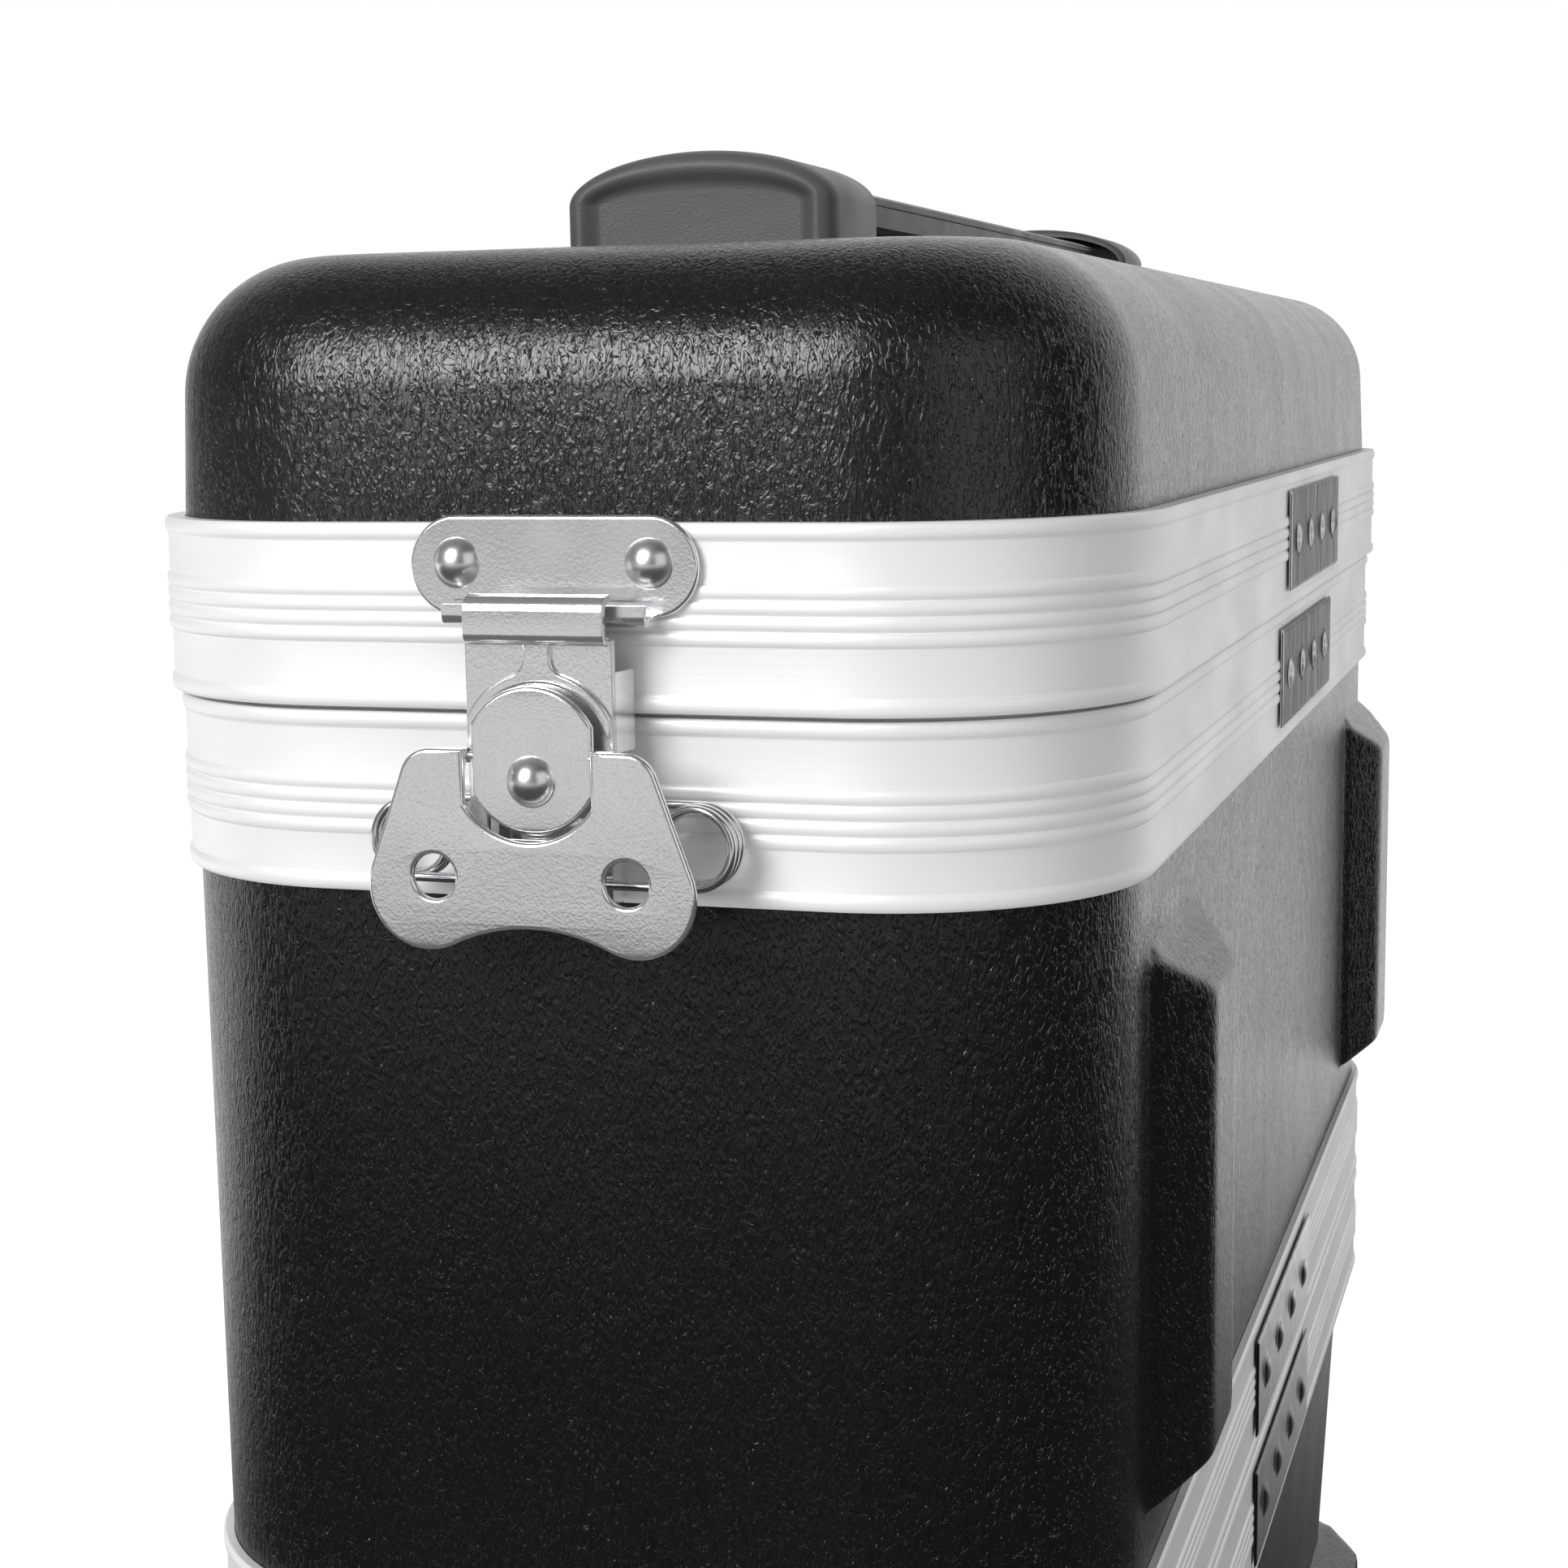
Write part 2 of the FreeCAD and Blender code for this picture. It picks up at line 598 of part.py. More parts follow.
def keeper(seat):
    """Riveted keeper plate with a lip that curls out and up; seat is its depth from the latch's face."""
    radius = (KEEPER_TOP - KEEPER_LOW) / 2
    middle = (KEEPER_TOP + KEEPER_LOW) / 2
    run = KEEPER_W / 2 - radius
    plate = slab(run, KEEPER_LOW, KEEPER_TOP, seat + SEAT, seat + PLATE_T)
    for x in (-run, run):
        plate = plate.fuse(peg(x, middle, radius, seat + SEAT, seat + PLATE_T))
    lip = [(seat + SEAT, KEEPER_LOW + LIP_T), (seat + SEAT, KEEPER_LOW), (seat + PLATE_T, KEEPER_LOW - LIP_T),
           (LIP_FRONT - LIP_T, KEEPER_LOW - LIP_T), (LIP_FRONT, KEEPER_LOW), (LIP_FRONT, LIP_TOP),
           (LIP_FRONT - LIP_T, LIP_TOP), (LIP_FRONT - LIP_T, KEEPER_LOW + LIP_T / 2),
           (LIP_FRONT - 2 * LIP_T, KEEPER_LOW), (seat + PLATE_T + LIP_T / 2, KEEPER_LOW),
           (seat + PLATE_T, KEEPER_LOW + LIP_T)]
    plate = plate.fuse(profile_bar(lip, LIP_W / 2))
    for x in (-KEEPER_RIVET_X, KEEPER_RIVET_X):
        plate = plate.cut(peg(x, FLAT_MID, RIVET_R + PIN_CLEAR, seat - PLATE_T, LIP_FRONT))
    return plate.removeSplitter()


def rivets(xs, z, seat, inner):
    """Domed rivets through a plate, the valance and the shell; seat is the plate's depth."""
    solids = []
    for x in xs:
        shank = peg(x, z, RIVET_R, -inner, seat + PLATE_T)
        solids.append(shank.fuse(out_head(RIVET_HEAD_R, RIVET_HEAD_H, x, z, seat + PLATE_T)).removeSplitter())
    return solids


def biarc(start, start_dir, end, end_dir):
    """Two tangent arcs from one point and direction to another."""
    gap = end - start
    both = start_dir + end_dir
    turn = 2 * (1 - start_dir.dot(end_dir))
    reach = (-gap.dot(both) + math.sqrt(gap.dot(both) ** 2 + turn * gap.dot(gap))) / turn
    joint = (start + start_dir * reach + end - end_dir * reach) * 0.5
    return [tangent_arc(start, start_dir, joint), tangent_arc(end, end_dir * -1, joint)]


def tangent_arc(point, direction, other):
    """The arc that leaves a point in a direction and ends at another point: edge and three points."""
    chord = other - point
    square = chord - direction * chord.dot(direction)
    centre = point + square * (chord.dot(chord) / (2 * square.dot(chord)))
    radius = (point - centre).Length
    bulge = (point + other) * 0.5 - centre
    middle = centre + bulge * (radius / bulge.Length)
    return Part.Arc(point, middle, other).toShape(), (point, middle, other)


def spring_path():
    """Wire of the spring: out of one cheek, round the right coil, across, round the left coil, back."""
    quarters = int(4 * COIL_TURNS)
    slope = COIL_PITCH / (2 * math.pi * COIL_R)
    edges = []
    nodes = []
    for coil in (0, 1):
        centre_x = COIL_X if coil == 0 else -COIL_X
        for step in range(quarters + 1):
            angle = math.pi / 2 - step * math.pi / 2 - coil * math.pi
            progress = step if coil == 0 else quarters - step
            depth = COIL_BACK + COIL_PITCH * progress / 4
            point = at_depth(centre_x + COIL_R * math.cos(angle), -COIL_DROP + COIL_R * math.sin(angle), depth)
            inside = 0 < step < quarters
            climb = (slope if coil == 0 else -slope) if inside else 0.0
            heading = Vector(math.sin(angle), -climb, -math.cos(angle)).normalize()
            nodes.append((coil, point, heading))
    cheek = PLATE_W / 2
    first = nodes[0][1]
    last = nodes[-1][1]
    edges.append(Part.LineSegment(Vector(cheek + SEAT, first.y, first.z), first).toShape())
    for before, after in zip(nodes, nodes[1:]):
        if before[0] == after[0]:
            edges += [edge for edge, points in biarc(before[1], before[2], after[1], after[2])]
        else:
            edges.append(Part.LineSegment(before[1], after[1]).toShape())
    edges.append(Part.LineSegment(last, Vector(-cheek - SEAT, last.y, last.z)).toShape())
    return Part.Wire(Part.__sortEdges__(edges))


def least_gap(path):
    """Smallest clear space between one turn of a coil and the next, measured on points of the wire."""
    samples = path.discretize(Number=900)
    step = path.Length / (len(samples) - 1)
    skip = int(math.pi * COIL_R / step)
    least = None
    for index, point in enumerate(samples):
        for other in samples[index + skip::2]:
            space = point.distanceToPoint(other) - WIRE_D
            if least is None or space < least:
                least = space
    return least


def spring():
    """The latch spring as one unbroken round wire."""
    path = spring_path()
    start = path.OrderedVertexes[0].Point
    loop = Part.Wire(Part.Circle(start, Vector(1, 0, 0), WIRE_D / 2).toShape())
    wire = path.makePipeShell([loop], True, False)
    print("spring gap %.2f mm, volume ratio %.4f" % (
        least_gap(path), wire.Volume / (path.Length * math.pi * WIRE_D ** 2 / 4)))
    return wire


def to_end(shape, parting, end):
    """Put a piece of the front latch on the front or rear end of the case."""
    moved = shape.copy()
    moved.translate(Vector(0, -LATCH_FACE, parting))
    if end == "rear":
        moved.rotate(Vector(0, 0, 0), Vector(0, 0, 1), 180)
    return moved


def handle_cap():
    """Front end cap of the handle, on the lid: crowned block, hollow panel in front, slot behind."""
    half = CAP_W / 2
    y = -CAP_SPAN / 2
    low_left = Vector(-half, y, TOP_Z)
    low_right = Vector(half, y, TOP_Z)
    high_right = Vector(half, y, TOP_Z + CAP_SIDE_H)
    high_left = Vector(-half, y, TOP_Z + CAP_SIDE_H)
    crown = Vector(0, y, TOP_Z + CAP_H)
    edges = [Part.LineSegment(low_left, low_right).toShape(), Part.LineSegment(low_right, high_right).toShape(),
             Part.Arc(high_right, crown, high_left).toShape(), Part.LineSegment(high_left, low_left).toShape()]
    block = Part.Face(Part.Wire(edges)).extrude(Vector(0, CAP_L, 0))
    shoulders = [edge for edge in edges_at(block, TOP_Z + CAP_SIDE_H) if edge.BoundBox.YLength > CAP_L / 2]
    block = block.makeFillet(CAP_SHOULDER_R, shoulders)
    rims = [edge for edge in block.Edges
            if edge.BoundBox.YLength < CAP_ROUND and edge.BoundBox.ZMax > TOP_Z + CAP_ROUND]
    block = block.makeFillet(CAP_ROUND, rims)
    inner = half - PANEL_MARGIN
    rise = CAP_SIDE_H - PANEL_MARGIN / 2
    top = CAP_H - PANEL_MARGIN
    sill = TOP_Z + PANEL_MARGIN / 3
    corners = [Vector(-inner, y, sill), Vector(inner, y, sill), Vector(inner, y, TOP_Z + rise),
               Vector(-inner, y, TOP_Z + rise)]
    panel = [Part.LineSegment(corners[0], corners[1]).toShape(), Part.LineSegment(corners[1], corners[2]).toShape(),
             Part.Arc(corners[2], Vector(0, y, TOP_Z + top), corners[3]).toShape(),
             Part.LineSegment(corners[3], corners[0]).toShape()]
    block = block.cut(Part.Face(Part.Wire(panel)).extrude(Vector(0, PANEL_DEPTH, 0)))
    slot_w = TANG_W + 2 * TANG_CLEAR
    slot = Part.makeBox(slot_w, TANG_L + TANG_CLEAR, TANG_T + GRIP_LIFT + 2 * TANG_CLEAR,
                        Vector(-slot_w / 2, y + CAP_L - TANG_L - TANG_CLEAR, TOP_Z + GRIP_UNDER - TANG_CLEAR))
    block = block.cut(slot)
    for x in (-BOLT_SPREAD / 2, BOLT_SPREAD / 2):
        hole = Part.makeCylinder(BOLT_R + SEAT, CAP_SIDE_H / 2, Vector(x, y + CAP_L / 2, TOP_Z))
        block = block.cut(hole)
    return block


def handle_grip():
    """Grip bar with a crowned top and a flat tang at each end for the slots in the caps."""
    length = CAP_SPAN - 2 * CAP_L - 2 * TANG_CLEAR
    low = TOP_Z + GRIP_UNDER
    bar = Part.makeBox(GRIP_W, length, GRIP_T, Vector(-GRIP_W / 2, -length / 2, low))
    bar = bar.makeFillet(GRIP_ROUND, [edge for edge in bar.Edges if edge.BoundBox.YLength > length / 2])
    over = TANG_L + TANG_CLEAR - SEAT
    tang = Part.makeBox(TANG_W, length + 2 * over, TANG_T, Vector(-TANG_W / 2, -length / 2 - over, low))
    return bar.fuse(tang).removeSplitter()


def turned(shape):
    """The same piece at the other end of the case."""
    other = shape.copy()
    other.rotate(Vector(0, 0, 0), Vector(0, 0, 1), 180)
    return other


def handle_bolt(x, y):
    """Bolt from inside the lid up into an end cap."""
    low = TOP_Z - WALL
    head = Part.makeCylinder(BOLT_HEAD_R, BOLT_HEAD_H, Vector(x, y, low - BOLT_HEAD_H))
    shank = Part.makeCylinder(BOLT_R, WALL + CAP_SIDE_H / 2 - SEAT, Vector(x, y, low))
    return head.fuse(shank).removeSplitter()


def bolt_places():
    """Where the four handle bolts stand."""
    y = CAP_SPAN / 2 - CAP_L / 2
    return [(x, side * y) for side in (-1, 1) for x in (-BOLT_SPREAD / 2, BOLT_SPREAD / 2)]


def foot_places():
    """Where the four feet stand."""
    return [(x, y) for x in (-FOOT_X, FOOT_X) for y in (-FOOT_Y, FOOT_Y)]


def foot(x, y):
    """Tapered rubber foot with a well for its screw."""
    cone = Part.makeCone(FOOT_R - FOOT_TAPER, FOOT_R, FOOT_H, Vector(x, y, 0))
    well = Part.makeCylinder(SCREW_HEAD_R + SEAT, FOOT_WELL, Vector(x, y, 0))
    hole = Part.makeCylinder(SCREW_R + SEAT, FOOT_H, Vector(x, y, 0))
    return cone.cut(well).cut(hole)


def foot_screw(x, y):
    """Screw up through a foot into the base shell."""
    head = Part.makeCylinder(SCREW_HEAD_R, SCREW_HEAD_H, Vector(x, y, FOOT_WELL - SCREW_HEAD_H))
    shank = Part.makeCylinder(SCREW_R, FOOT_H + WALL - FOOT_WELL, Vector(x, y, FOOT_WELL))
    return head.fuse(shank).removeSplitter()


def body_foam(low, high):
    """Foam block in the body with receiver bays at one end and microphone pockets at the other."""
    inset = WALL + LEG_T + SEAT + LINER_CLEAR
    block = prism(HALF_W - inset, HALF_L - inset, SHELL_R - inset, low, high)
    for side in (-1, 1):
        bay = prism(RECEIVER_W / 2, RECEIVER_L / 2, RECEIVER_R, high - RECEIVER_DEEP, high + WALL,
                    side * RECEIVER_PITCH / 2, RECEIVER_Y)
        block = block.cut(bay)
    for index in range(MIC_COUNT):
        x = (index - (MIC_COUNT - 1) / 2) * MIC_PITCH
        pocket = prism(MIC_W / 2, MIC_L / 2, MIC_W / 2 - WALL, high - MIC_DEEP, high + WALL, x, MIC_Y)
        block = block.cut(pocket)
    return block


def foam_sheet(inset, edge_r, low, high):
    """Foam sheet on the flat inside of a closed end."""
    margin = inset + edge_r
    return prism(HALF_W - margin, HALF_L - margin, SHELL_R - inset - WALL, low, high)


# Lid
rivet_xs = (-KEEPER_RIVET_X, KEEPER_RIVET_X)
lid_rivet_z = UPPER_Z + FLAT_MID
lid_outer, lid_hollow = lid_tub(UPPER_Z + EDGE_RISE, TOP_Z)
lid_shell = lid_outer.cut(lid_hollow)
lid_shell = drill(lid_shell, rivet_xs, lid_rivet_z, RIVET_R + PIN_CLEAR)
for place_x, place_y in bolt_places():
    bolt_hole = Part.makeCylinder(BOLT_R + SEAT, 2 * WALL, Vector(place_x, place_y, TOP_Z - 2 * WALL))
    lid_shell = lid_shell.cut(bolt_hole)
export(lid_shell, "lid_shell")
lid_valance = valance(LID_PROUD, 0.0, False, UPPER_Z, 1, SPLICE_Y_UPPER)
export(drill(lid_valance, rivet_xs, lid_rivet_z, RIVET_R + PIN_CLEAR), "lid_valance")
export(gasket(UPPER_Z, 1), "lid_gasket")
export(splice(SPLICE_Y_UPPER, UPPER_Z, 1, LID_PROUD), "lid_splice_plate")
lid_foam = foam_sheet(0.0, LID_EDGE_R, TOP_Z - WALL - LID_FOAM_T, TOP_Z - WALL - SEAT)
for place_x, place_y in bolt_places():
    pocket_low = TOP_Z - WALL - BOLT_HEAD_H - SEAT
    pocket = Part.makeCylinder(BOLT_HEAD_R + SEAT, 2 * BOLT_HEAD_H, Vector(place_x, place_y, pocket_low))
    lid_foam = lid_foam.cut(pocket)
export(lid_foam, "lid_foam")
cap_front = handle_cap()
export(cap_front, "handle_cap_front")
export(turned(cap_front), "handle_cap_rear")
export(handle_grip(), "handle_grip")
export(Part.makeCompound([handle_bolt(x, y) for x, y in bolt_places()]), "handle_bolts")

# Body
plate_xs = (-PLATE_RIVET_X, PLATE_RIVET_X)
body_shell = prism(HALF_W, HALF_L, SHELL_R, LOWER_Z + EDGE_RISE, UPPER_Z - EDGE_RISE)
for bump_y in (BUMP_Y_NEAR, BUMP_Y_FAR):
    bump_low = LOWER_Z + VALANCE_H + BUMP_MARGIN_LOW
    bump_high = UPPER_Z - VALANCE_H - BUMP_MARGIN_TOP
    body_shell = body_shell.fuse(bump(bump_y, bump_low, bump_high, HALF_W, BUMP_OUT, BUMP_SLOPE_TOP))
body_shell = body_shell.cut(prism(HALF_W - WALL, HALF_L - WALL, SHELL_R - WALL, LOWER_Z, UPPER_Z))
body_shell = drill(body_shell, plate_xs, UPPER_Z - FLAT_MID, RIVET_R + PIN_CLEAR)
export(drill(body_shell, rivet_xs, LOWER_Z + FLAT_MID, RIVET_R + PIN_CLEAR), "body_shell")
upper_valance = valance(BODY_PROUD, 0.0, True, UPPER_Z, -1, SPLICE_Y_UPPER)
export(drill(upper_valance, plate_xs, UPPER_Z - FLAT_MID, RIVET_R + PIN_CLEAR), "body_upper_valance")
lower_valance = valance(BODY_PROUD, 0.0, True, LOWER_Z, 1, SPLICE_Y_LOWER)
export(drill(lower_valance, rivet_xs, LOWER_Z + FLAT_MID, RIVET_R + PIN_CLEAR), "body_lower_valance")
export(splice(SPLICE_Y_UPPER, UPPER_Z, -1, BODY_PROUD), "body_upper_splice_plate")
export(splice(SPLICE_Y_LOWER, LOWER_Z, 1, BODY_PROUD), "body_lower_splice_plate")
panel_low = LOWER_Z + LEG_H + SEAT
panel_inset = WALL + LINER_CLEAR
panel_high = panel_low + PANEL_T
divider = prism(HALF_W - panel_inset, HALF_L - panel_inset, SHELL_R - panel_inset, panel_low, panel_high)
export(divider, "divider_panel")
export(body_foam(panel_high + SEAT, UPPER_Z - BODY_FOAM_DROP), "body_foam")

# Base
base_shell, base_hollow = base_tub(FLOOR_Z, LOWER_Z - EDGE_RISE)
base_bump_high = LOWER_Z - VALANCE_H - BASE_BUMP_DROP
base_bump_low = base_bump_high - BASE_BUMP_H
base_face = HALF_W - base_inset(base_bump_high)
base_bump_out = HALF_W + BASE_BUMP_OUT - base_face
for bump_y in (BUMP_Y_NEAR, BUMP_Y_FAR):
    base_bump = bump(bump_y, base_bump_low, base_bump_high, base_face, base_bump_out, BASE_BUMP_SLOPE_TOP)
    base_shell = base_shell.fuse(base_bump)
base_shell = base_shell.cut(base_hollow)
base_shell = drill(base_shell, plate_xs, LOWER_Z - FLAT_MID, RIVET_R + PIN_CLEAR)
for place_x, place_y in foot_places():
    base_shell = base_shell.cut(Part.makeCylinder(SCREW_R + SEAT, 2 * WALL, Vector(place_x, place_y, FLOOR_Z)))
export(base_shell, "base_shell")
base_valance = valance(BODY_PROUD, -BASE_INSET, False, LOWER_Z, -1, SPLICE_Y_LOWER)
export(drill(base_valance, plate_xs, LOWER_Z - FLAT_MID, RIVET_R + PIN_CLEAR), "base_valance")
export(gasket(LOWER_Z, -1), "base_gasket")
export(splice(SPLICE_Y_LOWER, LOWER_Z, -1, BODY_PROUD), "base_splice_plate")
base_foam_low = FLOOR_Z + WALL + SEAT
export(foam_sheet(base_inset(FLOOR_Z), BASE_EDGE_R, base_foam_low, base_foam_low + BASE_FOAM_T), "base_foam")
export(Part.makeCompound([foot(x, y) for x, y in foot_places()]), "rubber_feet")
export(Part.makeCompound([foot_screw(x, y) for x, y in foot_places()]), "foot_screws")

# Latches: the upper ones hold the lid to the body, the lower ones the body to the base
levels = {"upper": (UPPER_Z, LID_PROUD, BODY_PROUD + WALL),
          "lower": (LOWER_Z, BODY_PROUD, BODY_PROUD + BASE_INSET + WALL)}
pieces = {"plate": latch_plate(), "link": link(), "cam": cam(), "pivot": pivot(), "wing": wing()}
coil_spring = spring()
for level, (parting, keeper_proud, plate_reach) in levels.items():
    keeper_seat = keeper_proud - BODY_PROUD
    keeper_piece = keeper(keeper_seat)
    keeper_rivet = rivets(rivet_xs, FLAT_MID, keeper_seat, BODY_PROUD + WALL)
    plate_rivet = rivets(plate_xs, -FLAT_MID, 0.0, plate_reach)
    for end in ("front", "rear"):
        for kind, piece in pieces.items():
            export(to_end(piece, parting, end), "latch_" + kind + "_" + end + "_" + level)
        export(to_end(keeper_piece, parting, end), "keeper_" + end + "_" + level)
    ends = ("front", "rear")
    export(Part.makeCompound([to_end(coil_spring, parting, end) for end in ends]), "latch_springs_" + level)
    export(Part.makeCompound([to_end(one, parting, end) for end in ends for one in keeper_rivet]),
           "keeper_rivets_" + level)
    export(Part.makeCompound([to_end(one, parting, end) for end in ends for one in plate_rivet]),
           "latch_rivets_" + level)

for row in made:
    print("%-28s %d solids %12.1f mm3" % row)
print(len(made), "nodes")
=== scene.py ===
"""Looks of a wireless microphone case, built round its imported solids."""
import math

import bmesh
import bpy
import numpy as np
from bpy.props import FloatProperty, FloatVectorProperty, IntProperty, PointerProperty
from mathutils import Matrix, Vector


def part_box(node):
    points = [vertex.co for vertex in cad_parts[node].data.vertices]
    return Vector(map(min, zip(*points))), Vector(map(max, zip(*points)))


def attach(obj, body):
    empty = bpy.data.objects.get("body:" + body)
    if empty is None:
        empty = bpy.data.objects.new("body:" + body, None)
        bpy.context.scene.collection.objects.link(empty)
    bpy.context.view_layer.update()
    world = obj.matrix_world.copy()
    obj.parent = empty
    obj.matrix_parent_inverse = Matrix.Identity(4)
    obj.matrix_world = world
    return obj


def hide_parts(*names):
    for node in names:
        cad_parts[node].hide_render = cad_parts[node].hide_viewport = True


bl_info = {
    "name": "Wireless microphone case",
    "version": (1, 0, 0),
    "blender": (4, 5, 0),
    "location": "View3D > Sidebar > Case",
    "description": "Grained shells, ribbed valances, twist latches and handle of a transit case",
    "category": "Object",
}

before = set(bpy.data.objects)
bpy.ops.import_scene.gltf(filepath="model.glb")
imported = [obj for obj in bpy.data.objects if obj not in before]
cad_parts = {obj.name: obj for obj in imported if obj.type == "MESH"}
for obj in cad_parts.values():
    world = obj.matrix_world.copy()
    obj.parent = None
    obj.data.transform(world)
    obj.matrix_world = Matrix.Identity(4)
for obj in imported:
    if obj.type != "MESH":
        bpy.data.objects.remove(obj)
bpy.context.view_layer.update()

MM = 0.001
LID_LOW, LID_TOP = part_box("lid_shell")
BODY_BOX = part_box("body_shell")
BASE_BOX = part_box("base_shell")
MID_X = (LID_LOW.x + LID_TOP.x) / 2
# The upper parting lies this far above the middle between the lid's valance and the body's shell
PARTING_RISE = 2.8 * MM
UPPER_Z = (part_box("lid_valance")[0].z + BODY_BOX[1].z) / 2 + PARTING_RISE
LOWER_Z = (BASE_BOX[1].z + BODY_BOX[0].z) / 2
ENDS = ("front", "rear")
LEVELS = ("upper", "lower")


class CaseSizes(bpy.types.PropertyGroup):
    """Sizes of the pieces that show"""
    half_width: FloatProperty(name="Half width", description="Half of the shell's width", unit="LENGTH",
                              default=(LID_TOP.x - LID_LOW.x) / 2, precision=4)
    half_length: FloatProperty(name="Half length", description="Half of the shell's length", unit="LENGTH",
                               default=(LID_TOP.y - LID_LOW.y) / 2, precision=4)
    corner: FloatProperty(name="Corner radius", description="Upright corner radius of the shells",
                          unit="LENGTH", default=0.049, precision=4)
    wall: FloatProperty(name="Wall", description="Thickness of the moulded shells", unit="LENGTH",
                        default=0.004, precision=4)
    lid_edge: FloatProperty(name="Lid edge", description="Radius of the lid's top edge", unit="LENGTH",
                            default=0.027, precision=4)
    base_edge: FloatProperty(name="Base edge", description="Radius of the base's lower edge", unit="LENGTH",
                             default=0.028, precision=4)
    base_inset: FloatProperty(name="Base inset", description="How much the base shell is set in",
                              unit="LENGTH", default=0.0035, precision=4)
    bump_out: FloatProperty(name="Bump", description="Height of the stand-off bumps", unit="LENGTH",
                            default=BODY_BOX[1].x - LID_TOP.x, precision=4)
    lid_draft: FloatProperty(name="Lid draft", description="How much the lid narrows to its top",
                             unit="LENGTH", default=0.0022, precision=4)
    base_draft: FloatProperty(name="Base draft", description="How much the base narrows to its floor",
                              unit="LENGTH", default=0.008, precision=4)
    valance: FloatProperty(name="Valance", description="Height of a valance", unit="LENGTH",
                           default=0.0355, precision=4)
    lid_proud: FloatProperty(name="Lid valance", description="How far the lid valance stands out",
                             unit="LENGTH", default=0.0042, precision=4)
    body_proud: FloatProperty(name="Body valance", description="How far the other valances stand out",
                              unit="LENGTH", default=0.0024, precision=4)
    rib_depth: FloatProperty(name="Rib depth", description="Depth of the valance's ribs", unit="LENGTH",
                             default=0.0006, precision=4)
    rib_count: IntProperty(name="Ribs", description="Ribs along a valance", default=4, min=1)
    wire: FloatProperty(name="Spring wire", description="Diameter of the latch spring's wire", unit="LENGTH",
                        default=0.0018, precision=4)
    coil: FloatProperty(name="Coil radius", description="Radius of the spring's coils", unit="LENGTH",
                        default=0.0072, precision=4)
    grain: FloatProperty(name="Grain height", description="Height of the shell's grain", unit="LENGTH",
                         default=0.0004, precision=5)


class CaseColours(bpy.types.PropertyGroup):
    """Colours of the finishes"""
    shell: FloatVectorProperty(name="Shell", description="Moulded shell", subtype="COLOR", size=4,
                               default=(0.0022, 0.0025, 0.0027, 1), min=0, max=1)
    handle: FloatVectorProperty(name="Handle", description="Handle caps and grip", subtype="COLOR", size=4,
                                default=(0.066, 0.069, 0.071, 1), min=0, max=1)
    valance: FloatVectorProperty(name="Valance", description="Extruded aluminium", subtype="COLOR", size=4,
                                 default=(0.83, 0.84, 0.85, 1), min=0, max=1)
    latch: FloatVectorProperty(name="Latch", description="Satin plated steel", subtype="COLOR", size=4,
                               default=(0.82, 0.825, 0.83, 1), min=0, max=1)
    # Colour of a painted reflection of the dark room: the splice plates' dark streaks and stake flanks
    dark: FloatVectorProperty(name="Dark", description="Dark streaks and stakes of the splice plates",
                              subtype="COLOR", size=4, default=(0.03, 0.031, 0.033, 1), min=0, max=1)
    bright: FloatVectorProperty(name="Bright", description="Bright plated steel", subtype="COLOR", size=4,
                                default=(0.76, 0.76, 0.77, 1), min=0, max=1)
    foam: FloatVectorProperty(name="Foam", description="Foam inserts", subtype="COLOR", size=4,
                              default=(0.045, 0.046, 0.05, 1), min=0, max=1)
    floor: FloatVectorProperty(name="Floor", description="Studio floor", subtype="COLOR", size=4,
                               default=(0.86, 0.86, 0.86, 1), min=0, max=1)


def sizes():
    """The sizes that the panel shows."""
    return bpy.context.scene.case_sizes


def colours():
    """The colours that the panel shows."""
    return bpy.context.scene.case_colours


# Surfaces

WELD = 2e-6
SLIVER = 1e-7


def walk(long_right=32, long_left=32, short=12, turn=16):
    """Walk round a rectangle with round corners: for each step the corner fractions (kx, ky) in [-1, 1]
    and the outward direction (dx, dy), starting at the front end of the right side."""
    quarter = np.linspace(0, np.pi / 2, turn, endpoint=False)
    bend = np.ones(turn)
    right = np.linspace(-1, 1, long_right, endpoint=False)
    top = np.linspace(1, -1, short, endpoint=False)
    left = np.linspace(1, -1, long_left, endpoint=False)
    low = np.linspace(-1, 1, short, endpoint=False)
    kx = np.concatenate([np.ones_like(right), bend, top, -bend, -np.ones_like(left), -bend, low, bend])
    ky = np.concatenate([right, bend, np.ones_like(top), bend, left, -bend, -np.ones_like(low), -bend])
    angle = np.concatenate([np.zeros_like(right), quarter, np.full_like(top, np.pi / 2), quarter + np.pi / 2,
                            np.full_like(left, np.pi), quarter + np.pi, np.full_like(low, 1.5 * np.pi),
                            quarter + 1.5 * np.pi])
    return kx, ky, np.cos(angle), np.sin(angle)


def carry(inset, z, path, half_x, half_y, radius):
    """Carry a profile (inset, z) round the case: at inset i the corner radius is max(R - i, 0) and the corner
    centres stand at half - i - r, so P = (kx (hx - i - r) + r dx, ky (hy - i - r) + r dy, z)."""
    kx, ky, dx, dy = path
    inset = np.asarray(inset, float)[:, None]
    r = np.maximum(radius - inset, 0.0)
    x = kx[None, :] * (half_x - inset - r) + r * dx[None, :]
    y = ky[None, :] * (half_y - inset - r) + r * dy[None, :]
    height = np.broadcast_to(np.asarray(z, float)[:, None], x.shape)
    return np.stack([x + MID_X, y, height], axis=-1)


